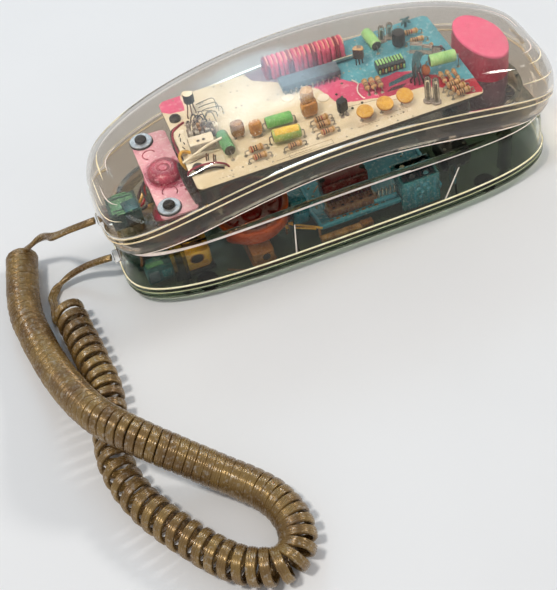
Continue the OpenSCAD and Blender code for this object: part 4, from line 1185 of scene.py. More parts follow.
# %% Ceramic discs
# painted shade: the underside and lower half of each disc's rim are a darker orange than its yellow top
opaque("disc_rim_shade", "b5622a", "98501c", 500, 0.3, 0.32)
discs = Bench("disc_capacitors_dressed", BOARD)
for k in range(3):
    a = radians(8)
    at = Vector((13.2 + 9.5 * k, -22 + 0.6 * k, 3.8))
    back = radians(5 + 4 * k)
    lean = Vector((sin(a) * sin(back), -cos(a) * sin(back), cos(back)))
    discs.lathe(at - lean * 1.15, [(1.0, 0), (2.6, 0.2), (3.5, 0.6), (3.7, 0.95), (3.7, 1.35),
            (3.5, 1.7), (2.6, 2.1), (1.0, 2.3)], None, 28, axis=lean,
        finishes=["disc_rim_shade"] * 4 + ["yellow_ceramic"] * 3)
    for side in (-1, 1):
        foot = Vector((at.x + side * 2 * cos(a), at.y + side * 2 * sin(a), 0))
        discs.wire([foot + UP * 3.2, foot + UP * 1.6, foot], 0.3, "tinned", 6, 2)
        pad(discs, foot)
discs.make("handset", "yellow_ceramic")

# %% Dipped blocks
films = Bench("film_capacitors_dressed", BOARD)
opaque("pale_glare", "f4e9d6", "e9d6b4", 300, 0.1, 0.2, 0.02, 0, 0.5)
for x, y, turn, length, width, height, leg, finish in (
        (-39.4, -8.4, 2, 6, 4.4, 7, 1.2, "brown_dip"),
        (-32.2, -11.2, 2, 5.6, 4.2, 6.6, 1.2, "amber_dip"),
        (-7.2, -9.6, 3, 7.4, 5, 6.6, 0.9, "amber_dip")):
    films.block((x, y, leg), (length, width, height), finish, 1.5, 1.9, turn=turn, edge=1.5)
    for side in (-1, 1):
        foot = Vector((x + side * length * 0.3, y, 0))
        films.wire([foot + UP * (leg + 0.4), foot + UP * 0.5, foot], 0.3, "tinned", 6, 2)
        pad(films, foot)
films.block((-7.0, -8.6, 6.8), (6.2, 4.4, 1.4), "brown_dip", 0.6, turn=3)
films.lathe((-6.8, -7.4, 7.4), [(2.6, 0), (2.9, 0.8), (2.9, 3.2), (2.6, 4.4), (1.8, 5), (0.4, 5.2)],
    "pale_dip", 28)
# the two pale threads over the amber block are a painted highlight
films.wires(
    ([(-33.2, -13.2, 3), (-33.4, -12.4, 6.8), (-33.1, -10, 7.9)], 0.28, "pale_glare", 6),
    ([(-31.4, -13.2, 3.4), (-31.4, -12.4, 6.9), (-31.1, -10.4, 7.9)], 0.2, "pale_glare", 6))
films.make("handset", "amber_plastic")

# %% Transistors


def dee(bench, x, y, z, height, r, turn, finish, top=None, n=22):
    """a round body with one flat side"""
    out = []
    for cut, h in ((0.25, 0), (0, 0.2), (0, height - 0.4), (0.1, height - 0.15), (0.4, height)):
        ring = []
        for k in range(n):
            a = tau * k / n
            px, py = (r - cut) * cos(a), max((r - cut) * sin(a), -0.55 * r)
            b = radians(turn)
            ring.append((x + px * cos(b) - py * sin(b), y + px * sin(b) + py * cos(b), z + h))
        out.append(ring)
    bench.rings(out, finish, finishes=[finish] * 3 + [top or finish])


small = Bench("transistors_dressed", BOARD)
dee(small, 5.8, -15, 2, 4.8, 2.4, 20, "black_plastic")
for x in (-1.3, 0, 1.3):
    small.wire([(5.8 + x, -15, 2.2), (5.8 + x * 1.2, -15.2, 0)], 0.26, "tinned", 6, 2)
    pad(small, Vector((5.8 + x * 1.2, -15.2, 0)), 0.5)
for x, y in ((4.8, -16.6), (7.2, -16.2)):
    small.lathe((x, y, 0), [(0.9, 0), (0.9, 0.4), (0.5, 0.6)], "brush_grey", 12)
dee(small, 24.7, 12.2, 3.4, 4.9, 2.5, -30, "brown_plastic_small", "resistor_body")
small.block((25.4, 13, 5.6), (2.2, 2.6, 2.9), "grey_part", 0.5, turn=-25)
for x in (-1.3, 0, 1.3):
    small.wire([(24.7 + x, 12.2, 3.6), (24.7 + x * 1.1, 12, 1.8), (24.7 + x * 1.2, 11.6, 0)], 0.3,
        "dark_wire", 6, 2)
# the tall black transistor's pale top and the pale block on it are a painted highlight
dee(small, -52.8, 17.6, 5.4, 4.8, 2.4, 150, "black_plastic", "pale_strip")
small.block((-53.9, 18.2, 9.6), (2.0, 2.6, 0.7), "pale_strip", 0.3, turn=60)
for x, fx, fy in ((-1.3, -55.6, 13.4), (0, -53.4, 14.4), (1.3, -51.4, 15.4)):
    small.wire([(-52.8 + x, 17.6, 5.6), (-53 + x, 16.8, 3), (fx, fy, 1.6), (fx, fy, 0)], 0.3,
        "brown_wire", 6, 3)
for x, y in ((-56.6, 10.4), (-54, 9), (-51.6, 11.4)):
    small.lathe((x, y, 0), [(1.1, 0), (1.1, 0.5), (0.8, 0.8)], "brush_grey", 14)
    small.lathe((x, y, 0.8), [(0.55, 0), (0.5, 0.3)], "hole_shade", 10)
small.lathe((45.2, 15, 0), [(1.2, 0), (1.2, 1.2), (2.7, 1.3), (2.95, 1.7), (2.95, 6.9), (2.7, 7.5),
        (1.9, 7.7), (0.3, 7.6)], "black_plastic", 32)

# %% Screws, leaf and bead
# the flat black screws at the board's corners
for x, y, r in ((-61, 15.6, 2.6), (-61.1, -19.1, 2.6)):
    small.lathe((x, y, 0), [(r, 0), (r, 0.9), (r * 0.86, 1.5), (r * 0.5, 1.8), (0.2, 1.85)],
        "screw_black", 24)
    for turn in (20, 110):
        small.block((x, y, 1.72), (r * 1.1, 0.5, 0.2), "hole_shade", 0.05, turn=turn)
# a bent black leaf on four dark legs, with an orange bead under it
leaf = []
for k, (x, y, z) in enumerate(((41.2, -10.6, 3.0), (42.6, -8.4, 6.4), (44.4, -6.2, 8.4),
            (46.6, -4.4, 8.8), (48.4, -3.6, 7.2))):
    w = (1.4, 2.4, 2.7, 2.4, 1.2)[k]
    leaf.append([Vector((x - 0.25 * w, y + 0.75 * w, z)), Vector((x, y, z + 0.5)),
            Vector((x + 0.5 * w, y - 0.7 * w, z - 0.4)), Vector((x + 0.4 * w, y - 0.6 * w, z - 1)),
            Vector((x, y, z - 0.3)), Vector((x - 0.2 * w, y + 0.6 * w, z - 0.6))])
small.rings(leaf, "dark_teal")
for k, (x, y) in enumerate(((40.6, -12.2), (42.4, -13.2), (44.2, -13.4), (39.8, -10.4))):
    small.wire([(43.4 + 0.5 * k, -8.2 + 0.5 * k, 7), (41.8 + k, -9.6, 5.4), (x, y, 1.6), (x, y, 0)],
        0.4, "maroon_wire" if k % 2 else "dark_wire", 6, 3)
small.lathe((47.2, -8, 1.8), [(0.5, 0), (1.9, 0.3), (2.3, 1.0), (1.9, 1.9), (0.6, 2.3)], "orange_part",
    20, axis=(0.3, -0.7, 0.6))
small.rod((47.2, -8, 0), (47.2, -8, 2.4), 0.4, "tinned")
small.make("handset", "black_plastic")

# %% [markdown]
# ## Chips and the ribbon of wire loops
# The long chip has eleven bent pins a side.  The small one is striped like a
# bar of switches.  Beyond them stands a row of seventeen pink wire loops.

# %% Chips
chips = Bench("dialler_chips_dressed", BOARD)
spin = Matrix.Rotation(radians(-3), 3, "Z")
middle = Vector((0.6, 11, 0))
chips.blocks(
    (middle + UP * 1.2, (27, 7.4, 3.4), "chip_plastic", 0.4, None, -3),
    (middle + UP * 2.2, (27.06, 7.46, 0.35), "chip_edge", 0.1, None, -3))
chips.lathe(middle + spin @ Vector((-12, 0, 4.55)), [(0.9, 0), (0.8, 0.08), (0.2, 0.02)], "chip_edge",
    14)
for k in range(11):
    for side in (-1, 1):
        at = middle + spin @ Vector((-12.5 + 2.5 * k, side * 3.7, 0))
        chips.blocks(
            (at + spin @ Vector((0, side * 0.35, 2.1)), (1.2, 0.8, 0.35), "tinned", 0.08, None, -3),
            (at + spin @ Vector((0, side * 0.65, 0)), (0.7, 0.3, 2.3), "tinned", 0.08, None, -3))
spin = Matrix.Rotation(radians(-4), 3, "Z")
middle = Vector((35.4, 2.2, 0))
chips.block(middle + UP * 0.5, (12.6, 6, 3.7), "chip_edge", 0.3, turn=-4)
for k in range(9):
    chips.blocks(
        (middle + spin @ Vector((-5.6 + 1.4 * k, 0.8, 4.0)), (0.8, 3.6, 0.7), "pale_green_sleeve", 0.2,
            None, -4),
        (middle + spin @ Vector((-5.6 + 1.4 * k, -2.9, 1.0 + 0.5 * (k % 2))), (0.8, 0.6, 2.0),
            "band_gold" if k % 2 else "pale_green_sleeve", 0.15, None, -4))
for k in range(5):
    for side in (-1, 1):
        chips.rod(middle + spin @ Vector((-5 + 2.5 * k, side * 2.6, 0)),
            middle + spin @ Vector((-5 + 2.5 * k, side * 2.6, 0.8)), 0.35, "tinned", 8)
chips.make("handset", "grey_chip")

# %% Ribbon of wire loops
# peach_glint is a painted highlight: a thin peach thread along the top of each loop
opaque("peach_glint", "f2b49c", "e08a84", 300, 0.3, 0.3, 0.05, 0, 0.3)
loops = Bench("ribbon_cable_dressed", BOARD)
spin = Matrix.Rotation(radians(-3), 3, "Z")
middle = Vector((2.8, 24.8, 0))
for k in range(17):
    path = [(0, -4.2, 0), (0, -4.2, 1.8), (0, -4.2, 3.6)]
    path += [(0, -4.2 * cos(pi * j / 9), 3.6 + 4.2 * sin(pi * j / 9)) for j in range(1, 9)]
    path += [(0, 4.2, 3.6), (0, 4.2, 1.8), (0, 4.2, 0)]
    wobble = 0.12 * sin(k * 2.3)
    loops.wires(
        ([middle + spin @ Vector((2.2 * k - 17.6 + wobble, y, z)) for x, y, z in path], 1.0,
            "pink_wire" if k % 5 else "crimson_wire", 10, 1),
        ([middle + spin @ Vector((2.2 * k - 17.0 + wobble, y - 0.3, z + 0.62)) for x, y,
                z in path[4:9]], 0.42, "peach_glint", 6, 1))
loops.block(middle + UP * 0.02, (38, 9.6, 0.8), "crimson_wire", 0.3, turn=-3)
loops.make("handset", "pink_wire")

# %% [markdown]
# ## The cluster at the cord end
# A clear slide switch stands among cream plates, with a brush of small parts
# behind it.  Wires run down past the board's end.

# %% Switch cluster
opaque("switch_grey", "b9b2a6", "9d9588", 300, 0.4, 0.3, 0.05, 0, 0.5)
switch = Bench("tone_switch_dressed", BOARD)
switch.blocks(
    ((-56, -4.6, 0), (13.4, 16.6, 1.2), "pale_strip", 0.3),
    ((-62.6, -1.2, 0), (4.4, 14.6, 1.6), "pale_strip", 0.4, None, -4))
for k, (x, y, length) in enumerate(((-62.6, 2.6, 2.2), (-63, -0.4, 2.6), (-62.2, -3.2, 1.6),
            (-63.2, -6, 2.2))):
    switch.block((x, y, 1.55), (0.5, length, 0.14), "hole_shade", 0.05, turn=-30 + 16 * k)
switch.blocks(
    ((-55.6, -8.6, 1.2), (11, 6.4, 4.2), "switch_grey", 0.6, None, -4),
    ((-55.6, -8.6, 5.4), (10.4, 5.8, 0.35), "pale_strip", 0.3, None, -4))
for x in (-57, -54.6):
    switch.lathe((x, -9.4, 5.7), [(0.75, 0), (0.75, 0.16), (0.5, 0.2)], "brush_grey", 12)
    switch.lathe((x, -9.4, 5.86), [(0.4, 0), (0.36, 0.1)], "hole_shade", 10)
dice = random.Random(11)
for k in range(15):
    x = -58.4 + 2.3 * (k % 5) + dice.uniform(-0.4, 0.4)
    y = -3.9 + 2.5 * (k // 5) + dice.uniform(-0.3, 0.3)
    tall = 3.2 + dice.uniform(0, 2.6)
    switch.block((x, y, 1.2), (1.7, 1.9, tall),
        dice.choice(["brush_grey", "grey_part", "brown_dip", "switch_grey"]), 0.35,
        turn=dice.uniform(-25, 25))
    switch.rod((x + 0.3, y, tall + 1), (x + 0.6, y + 0.4, tall + 2.2), 0.18, "tinned", 6)
for k in range(16):
    x, y, h = -58.6 + dice.uniform(0, 10), -3.6 + dice.uniform(0, 11), dice.uniform(5.6, 8)
    reach, sway = dice.uniform(2.4, 4.6), dice.uniform(-1.6, 1.6)
    switch.wire([(x, y, h - 3), (x + reach * 0.3, y - sway * 0.3, h),
            (x + reach * 0.8, y - sway, h - 0.4), (x + reach, y - sway * 1.2, 1.5)],
        dice.uniform(0.16, 0.26), dice.choice(["dark_wire", "brush_grey", "dark_wire", "tinned"]), 6)
switch.lathe((-47.4, -1.6, 0), [(0.9, 0), (0.9, 3.4), (1.5, 3.8), (1.5, 5), (0.8, 5.4)], "pale_strip",
    16)
switch.block((-57.4, -18.6, 0), (16.2, 5.6, 1.1), "pale_strip", 0.4, turn=-4)
for x, y in ((-56.1, -16.2), (-53.5, -18.1)):
    switch.wires(
        ([(x - 0.5, y - 0.8, 1), (x - 0.2, y - 0.2, 2.6), (x + 0.3, y + 1.2, 2.8),
                (x + 0.6, y + 2, 1.4)], 0.34, "brown_wire", 6),
        ([(x + 0.3, y - 0.9, 1), (x + 0.6, y - 0.2, 2.4), (x + 1.1, y + 1, 2.5)], 0.22, "dark_wire", 6))
switch.wires(
    ([(-66.2, -14.6, 1.6), (-60, -13.6, 3.2), (-54, -12.8, 5), (-47.4, -12.6, 6.2)], 0.55, "pale_strip",
        8),
    ([(-65.6, -15.4, 0.4), (-60, -14.7, 0.9), (-55, -14.2, 1.2)], 0.2, "dark_wire", 6))
switch.make("handset", "grey_switch")

# %% Loose wires
opaque("bundle_dark", "150c0a", "241210", 300, 0.4, 0.4)
extra = Bench("board_extras", BOARD)
# black and crimson arc over the corner screw
extra.wires(
    ([(-66.2, -20.4, 0), (-65.4, -20.6, 1.6), (-61, -20.6, 2.8), (-55, -21.2, 2.8), (-50.4, -22.2, 1.6),
            (-48.9, -22.9, 0)], 0.42, "crimson_wire", 8),
    ([(-65.8, -21.6, 0), (-64.8, -21.8, 0.7), (-61, -21.8, 1.4), (-55, -22.2, 1.4), (-51, -23, 0.4)],
        0.42, "dark_wire", 8))
# yellow lead at the edge, crimson lead along it
extra.wires(
    ([(-65.2, -13.4, -3), (-66.4, -13, 0), (-66.6, -11.2, 1.8), (-65, -9.4, 2.6), (-62.6, -9.2, 1.9),
            (-61.4, -9.8, 1.2)], 0.75, "yellow_wire", 8),
    ([(-58.4, 11.4, 0.5), (-61.6, 9.8, 0.6), (-64.4, 7.4, 0.5), (-65.6, 3.6, 0), (-65.9, -3, -0.3),
            (-65.9, -9.4, -0.8)], 0.5, "crimson_wire", 8),
    ([(-60.4, 10.8, 0.4), (-64.6, 8.6, 0.4), (-66.2, 4, -0.4), (-66.5, -5, -1)], 0.3, "dark_wire", 6))
# the dark bundle that hangs down between strap and board
dice = random.Random(3)
for k in range(12):
    j = dice.uniform(-0.6, 0.6)
    extra.wire([(-67.8 + 0.18 * k, -10.4 + j, -1.6), (-68.2 + 0.26 * k, -14 + j, -2.0 - 0.25 * k),
            (-68.3 + 0.3 * k, -19 - j, -3.6 - 0.1 * k), (-67.6 + 0.24 * k, -24 + j, -5.6),
            (-66.6 + 0.16 * k, -28.4 + 0.3 * j, -8.2)], 0.66,
        ("bundle_dark", "bundle_dark", "bundle_dark", "maroon_wire")[k % 4], 8)
# fine hairs of wire beside the tall transistor
for x0, y0, z0, x1, y1, z1 in ((-50.5, 16.5, 3.5, -42.7, 14.4, 5.5), (-50, 14.6, 3, -42.3, 12.3, 4.5),
        (-49, 12.6, 2.6, -41, 10.1, 3.5), (-51, 13.4, 2, -44, 9, 2.6)):
    extra.wire([(x0, y0, z0), ((x0 + x1) / 2, (y0 + y1) / 2, (z0 + z1) / 2 + 0.5), (x1, y1, z1),
            (x1 + 0.4, y1 - 0.4, 0)], 0.16, "sleeve_end", 6)

# %% Posts, blades and prisms
# clear posts with dark feet
for x, y, tall in ((41.4, -24.2, 11.5), (44.1, -26.4, 11.5), (39.9, 22.2, 8), (44, 22.6, 8)):
    extra.lathe((x, y, 0), [(2.2, 0), (2.2, 0.7), (1.8, 1.0)], "brush_grey", 20)
    extra.lathe((x, y, 0.9), [(1.7, 0), (1.5, 1), (1.45, tall - 2), (1.2, tall - 1.2),
            (0.5, tall - 0.9)], "clear_part", 20)
    extra.lathe((x, y, 0.9), [(0.5, 0), (0.45, tall - 3), (0.1, tall - 2.6)], "tinned", 10)
# crossed dark-teal blades at the far edge
for turn, length in ((38, 7.6), (-52, 5.6), (118, 4.6)):
    a = radians(turn)
    d, s = Vector((cos(a), sin(a), 0)), Vector((-sin(a), cos(a), 0))
    c = Vector((53.4, 26.4, 3.2))
    extra.rings([[c + d * length * t / 2 + s * w + UP * (1.0 - 1.2 * t * t),
            c + d * length * t / 2 + UP * (1.4 - 1.2 * t * t),
            c + d * length * t / 2 - s * w + UP * (1.0 - 1.2 * t * t),
            c + d * length * t / 2 + UP * (0.7 - 1.2 * t * t)] for t,
            w in ((-1, 0.15), (-0.6, 0.9), (0, 0.7), (0.6, 0.9), (1, 0.15))], "dark_teal")
extra.rod((53.4, 26.4, 0), (53.4, 26.4, 4), 0.6, "dark_teal")
# clear prisms and the hooked lead beside them
for x, y, turn, length, tall in ((50.4, 7.6, -32, 5.6, 4.2), (54.6, 4.6, -38, 4.8, 3.2),
        (57.6, 2.2, -40, 3.4, 2.4)):
    extra.blocks(
        ((x, y, 0), (length, 3, tall), "clear_part", 0.4, None, turn),
        ((x, y, 0), (length + 0.6, 3.6, 0.4), "brush_grey", 0.15, None, turn))
extra.wire([(56, 3, 3.4), (59, 0.8, 3.6), (60.4, -0.6, 2.4), (60.4, -1.2, 0)], 0.3, "dark_wire", 6)
extra.lathe((57.4, 6.8, 0), [(0.9, 0), (0.9, 1.8), (0.5, 2.4)], "resistor_body", 14)
extra.lathe((60.4, 3.4, 0), [(0.9, 0), (0.9, 1.4), (0.5, 1.9)], "crimson_wire", 14)
# flat teal strip, white zigzag lead and small dots
extra.blocks(
    ((19, 17.2, 0.6), (10, 2.6, 0.9), "dark_teal", 0.3, None, -1),
    ((19, 17.6, 1.5), (9.4, 0.5, 0.2), "pale_strip", 0.08, None, -1))
for x in (15.4, 22.8):
    extra.rod((x, 17.2, 0), (x, 17.2, 1), 0.4, "tinned")
extra.wire([(17.2, 2.7, 0.5), (18.6, -1.2, 1.0), (17.4, -3.4, 0.9), (16.4, -6.4, 0.8),
        (17.1, -9.7, 0.4), (18, -10.2, 0)], 0.3, "white_wire", 8)
for x, y in ((10.7, -13.6), (15.7, -12.4), (8.4, -11.6), (7.8, -2.4), (9.4, -5), (12.6, 3.2)):
    extra.lathe((x, y, 0), [(0.6, 0), (0.6, 0.3), (0.3, 0.45)], "sleeve_end", 10)
extra.make("handset", "black_plastic")

# %% [markdown]
# ## Receiver boot and strap
# The pink rubber boot rises from the ear capsule and leans outwards, so its
# round top faces the end.  At the other end a pale pink strap holds the
# microphone boot, which comes up through it as a crimson boss.

# %% Receiver boot
boot = Bench("receiver_boot_dressed")
LOW, TALL = 35.7, 27.8
LEAN, TIP = radians(24), radians(-8.6)


def leaning(along, over, height, radius, lean, n=56):
    """a ring of the boot; lean goes from 0 for level to 1 for the slope of the top"""
    a, b = sin(LEAN * lean), sin(TIP * lean)
    out = Vector((a, b, sqrt(1 - a * a - b * b)))
    side = Vector((0, 1, 0)).cross(out).normalized()
    away = out.cross(side)
    middle = Vector((77 + along, over, LOW + height))
    return [middle + (side * cos(t) + away * sin(t)) * radius for t in (tau * k / n for k in range(n))]


# painted light and shade on one pink rubber: the top is a light pink, the upper side crimson and the
# low part a dark mauve
rings = [leaning(0, 0, 0, 12.4, 0), leaning(0, 0, 5, 12.4, 0)]
finishes = ["boot_shaded_low"]
for k in range(9):
    t = k / 8
    ridge = 0.22 if k % 2 else -0.1
    rings.append(leaning(0.4 + 3.0 * t, 0.4 + 4.3 * t, 7 + (TALL - 9) * t, 12.5 + 1.4 * t + ridge,
            0.12 + 0.86 * t))
    finishes.append("boot_shaded_low" if k < 5 else "boot_shaded_side")
rings += [leaning(3.5, 4.85, TALL - 1.0, 14.1, 1), leaning(3.52, 4.9, TALL - 0.4, 14.0, 1),
    leaning(3.55, 4.92, TALL - 0.08, 13.7, 1), leaning(3.55, 4.92, TALL, 13.2, 1),
    leaning(3.55, 4.92, TALL, 6, 1), leaning(3.55, 4.92, TALL, 0.2, 1)]
finishes += ["boot_shaded_side", "boot_lit_top", "boot_lit_top", "boot_lit_top", "boot_lit_top", "boot_lit_top"]
boot.rings(rings, None, (True, True), finishes)
top_centre = Vector((80.55, 4.92, LOW + TALL))
out = Vector((sin(LEAN), sin(TIP), sqrt(1 - sin(LEAN) ** 2 - sin(TIP) ** 2)))
tip = Vector((0, 1, 0)).cross(out).normalized()
for x, y in ((-5.6, 5.2), (-4.2, 6.1), (-4.4, 4.6), (-5, 7.4), (-3.4, 6.9), (4, -5), (-1, -7.4),
        (6.5, 3), (-8, -3), (2, 8), (7, -2.4)):
    boot.lathe(top_centre + tip * x + out.cross(tip) * y - out * 0.1,
        [(0.24, 0), (0.22, 0.14), (0.08, 0.16)], "crimson_wire", 8, axis=out)
boot.make("handset", "pink_rubber", smooth=50)

# %% Receiver capsule
capsule = Bench("receiver_capsule_dressed")
capsule.lathe((77, 0, 30.7), [(16.4, 0), (17.2, 0.6), (17.2, 4.2), (16.6, 4.9), (11.3, 5.0),
        (11.2, 8.6), (10.6, 9)], "capsule_plastic", 64)
for k in range(24):
    a = tau * k / 24
    capsule.block((77 + 14.4 * cos(a), 14.4 * sin(a), 35.5), (2.4, 0.7, 0.5), "grey_part", 0.1,
        turn=degrees(a))
capsule.make("handset", "black_plastic")

# %% Strap
strap = Bench("strap_bracket_dressed")
STRAP_X, STRAP_Y, STRAP_Z = -74.3, -3.1, 54.0
BOSS_X, BOSS_Y = -73.8, -4.2


def strap_ring(half_l, half_w, z, n=14):
    ring = []
    for q, (sx, sy) in enumerate(((1, 1), (-1, 1), (-1, -1), (1, -1))):
        for i in range(n + 1):
            a = pi / 2 * (q + i / n)
            ring.append((STRAP_X + sx * (half_w - 2.5) + 2.5 * cos(a),
                    STRAP_Y + sy * (half_l - 2.5) + 2.5 * sin(a), z))
    return ring


strap_rings = [strap_ring(26.5, 8.05, STRAP_Z), strap_ring(26.7, 8.25, STRAP_Z + 0.2),
    strap_ring(26.7, 8.25, STRAP_Z + 1.0), strap_ring(26.5, 8.05, STRAP_Z + 1.2)]
strap.rings(strap_rings, "strap_pink")
strap_body = loose(strap)
cut(strap_body, [round_tool("boss_crimson", (BOSS_X, BOSS_Y, STRAP_Z - 1), [(7.5, 0), (7.5, 4)], 48)]
    + [round_tool("strap_pink", (SCREW_X, y, STRAP_Z - 1), [(1.6, 0), (1.6, 4)], 20) for y in SCREW_Y],
    "DIFFERENCE")
finish_shell(strap_body, "handset", "strap_bracket")

# %% Marks on the strap
marks = Bench("strap_marks")
for cx, cy, r, a0, a1 in ((-76.8, 9.6, 3.0, 20, 250), (-75.0, -15.4, 3.2, -40, 190)):
    marks.wire([(cx + r * cos(radians(a0 + (a1 - a0) * k / 12)),
            cy + r * sin(radians(a0 + (a1 - a0) * k / 12)), STRAP_Z + 1.22) for k in range(13)], 0.3,
        "boss_crimson", 8, 1)
# painted shade of the boss on the strap: a pale and a crimson ring round it, wider on one side
for seed, (r0, r1, finish, lift) in enumerate(((7.6, 9.6, "boss_pale", 0.0),
            (7.5, 8.6, "boss_crimson", 0.02))):
    dice = random.Random(seed)
    inner, outer = [], []
    for k in range(48):
        a = tau * k / 48
        reach = r1 + dice.uniform(-0.3, 0.5) + 1.0 * max(0, cos(a + 0.9))
        x, y = BOSS_X + reach * cos(a), BOSS_Y + reach * sin(a)
        outer.append((max(min(x, STRAP_X + 8.0), STRAP_X - 8.0), y, STRAP_Z + 1.24 + lift))
        inner.append((BOSS_X + r0 * cos(a), BOSS_Y + r0 * sin(a), STRAP_Z + 1.26 + lift))
    marks.add(inner + outer, [[k, (k + 1) % 48, 48 + (k + 1) % 48, 48 + k] for k in range(48)], finish)
# the shade at its inner side, and dark wires that hang between strap and board
dice = random.Random(12)
for k in range(26):
    y = -24 + 1.35 * k + dice.uniform(-0.3, 0.3)
    marks.wire([(-66.3 + dice.uniform(-0.4, 0.3), y, STRAP_Z + 0.9), (-65.4, y - 0.5, STRAP_Z - 0.6),
            (-65.0 + dice.uniform(-0.3, 0.4), y - 1.4, STRAP_Z - 3 - dice.uniform(0, 2.5))], 0.42,
        ("maroon_wire", "hole_shade", "crimson_wire")[k % 3], 6, 2)
for k in range(16):
    x, y = STRAP_X + 7.4 - abs(dice.gauss(0, 1.9)), dice.uniform(-20, 4)
    marks.lathe((x, y, STRAP_Z + 1.2), [(0.5 + 0.3 * (k % 3), 0), (0.4, 0.05), (0.1, 0.07)],
        "boss_pale" if k % 2 else "boss_crimson", 10)
marks.make("handset", "pink_strap")

# %% Microphone boot
lower = Bench("microphone_boot_dressed")
low = 30.7
lower.lathe((BOSS_X, BOSS_Y, low), [(9.6, 0), (10, 0.4), (10.4, 4), (9.4, 6.4), (8.2, 9), (7.8, 12),
        (8.1, 13), (7.7, 14), (8.0, 15), (7.6, 16), (7.9, 17.4), (7.6, 20), (9.2, 21.3), (9.4, 21.6),
        (9.4, 23.2), (7.4, 23.3), (7.4, 25.2), (7.1, 26.4), (6.3, 27.4), (5.2, 28.0), (3.6, 28.2),
        (3.2, 28.0), (2.9, 27.5), (2.4, 27.3), (1.6, 27.7), (0.8, 27.9), (0.1, 27.9)], None, 56,
    finishes=["boss_crimson"] * 20 + ["boss_pale", "boss_pale", "boss_crimson", "boss_crimson",
        "boss_pale", "boss_pale"])
lower.wire([(BOSS_X - 5.2, BOSS_Y - 4.6, low + 26.4), (BOSS_X - 1.5, BOSS_Y - 6.0, low + 26.6),
        (BOSS_X + 3, BOSS_Y - 5.6, low + 26.6), (BOSS_X + 5.6, BOSS_Y - 3.6, low + 26.2)], 0.5,
    "boss_pale", 8)
lower.make("handset", "crimson_rubber", smooth=50)

# %% Washers and screws
washers = Bench("strap_washers_dressed")
screws = Bench("strap_screws_dressed")
for y in SCREW_Y:
    foot = Vector((SCREW_X, y, STRAP_Z + 1.2))
    washers.lathe(foot, [(1.6, 0), (5.0, 0), (5.25, 0.2), (5.25, 0.7), (5.0, 1.1), (4.75, 1.4),
            (3.2, 1.3), (1.7, 1.4), (1.6, 1.3), (1.6, 0)], None, 48,
        finishes=["hole_shade", "hole_shade", "hole_shade", "screw_black"] + ["steel_washer"] * 5,
        close_ends=(False, False))
    head = [(0.1, 1.3), (1.5, 1.3), (2.3, 1.35), (2.6, 1.7), (2.6, 2.3), (2.2, 2.8), (1.4, 3.05),
        (0.1, 3.1)]
    screws.lathe(foot, head, "black_steel", 32)
    screws.rod(foot - UP * 1.2, foot + UP * 1.4, 1.45, "black_steel", 16)
    for turn in (12, 102):
        screws.block(foot + UP * 2.72, (3.5, 0.75, 0.42), "hole_shade", 0.06, turn=turn)
washers.make("handset", "steel", smooth=50)
screws.make("handset", "black_steel", smooth=50)

# %% [markdown]
# ## Jacks, plugs and wires
# A modular jack is a box with a mouth, four gold springs and a latch ledge.
# The clear plug in it shows its contacts, and its tail grips the flat cord.

# %% A jack
opaque("gold_spring", "c79a3c", "a87c28", 700, 0.1, 0.25, 0.04, 0.9)
# jack_glint is a painted highlight: a lighter green sheen laid on the jacks
opaque("jack_glint", "5f9a70", "3c7458", 500, 0.5, 0.25, 0.05, 0, 0.6)


def jack(bench, at, length, spin, finish):
    """a jack whose mouth faces -X before it is turned"""
    at = Vector(at)

    def box(x, y, z, l, w, h, f, r=0.25):
        centre = at + spin @ Vector((x + l / 2, y, z))
        turn = degrees(atan2((spin @ Vector((1, 0, 0))).y, (spin @ Vector((1, 0, 0))).x))
        bench.block(centre, (l, w, h), f, r, turn=turn)
    box(0, 0, -4.1, length, 12, 0.68, finish)
    box(0, 0, 3.42, length, 12, 0.68, finish)
    box(0, -5.04, -3.5, length, 1.88, 7.0, finish)
    box(0, 5.04, -3.5, length, 1.88, 7.0, finish)
    box(length - 1, 0, -3.5, 1, 8.3, 7.0, finish)
    for k in range(4):
        box(length - 5.6, -1.8 + 1.2 * k, 3.2, 4.4, 0.4, 0.16, "gold_spring", 0.05)
    # a thin sheet over the top is a painted highlight
    box(1.4, 0, 4.1, length - 2.8, 9.4, 0.22, "jack_glint", 0.08)
    for y in (-3.4, 3.4):
        box(2, y, 4.2, length - 4, 0.7, 0.24, finish, 0.08)

# %% The three jacks
STRAIGHT, JACK_L = Matrix.Identity(3), 14
handset_jack = Bench("handset_jack_dressed")
jack(handset_jack, (JACK_X, 0, JACK_Z), JACK_L, STRAIGHT, "jack_teal")
# two rods beside the handset jack are painted highlights
for y, r in ((-6.0, 0.5), (6.0, 0.5)):
    handset_jack.rod((-99, y * 0.9, 42.9), (-92, y * 0.9, 43.2), r, "jack_glint", 8)
handset_jack.block((-92.4, -2.6, 43.1), (6.6, 6.2, 0.5), "dark_teal", 0.2, turn=8)
handset_jack.make("handset", "teal_plastic")

base_jack = Bench("base_cord_jack_dressed")
jack(base_jack, (BASE_JACK_X, 0, BASE_JACK_Z), JACK_L, STRAIGHT, "jack_teal")
base_jack.blocks(
    ((-94, 0, 3.8), (8, 8, 6.1), "jack_teal", 0.5),
    ((-92, -5, 3.8), (4, 8, 3), "jack_teal", 0.4),
    ((-89, -10.6, 3.8), (13, 8.8, 10.4), "dark_teal", 0.8),
    # the plate over the base jack is a painted highlight
    ((-90.4, -12.4, 14.1), (8, 3.4, 0.5), "jack_glint", 0.2, None, 6),
    ((-86, -15.05, 6.4), (4.6, 0.5, 4.6), "teal_moulding", 0.2),
    ((-92, -15.05, 5.4), (4.6, 0.5, 6.2), "chip_plastic", 0.2))
base_jack.make("base", "teal_plastic")

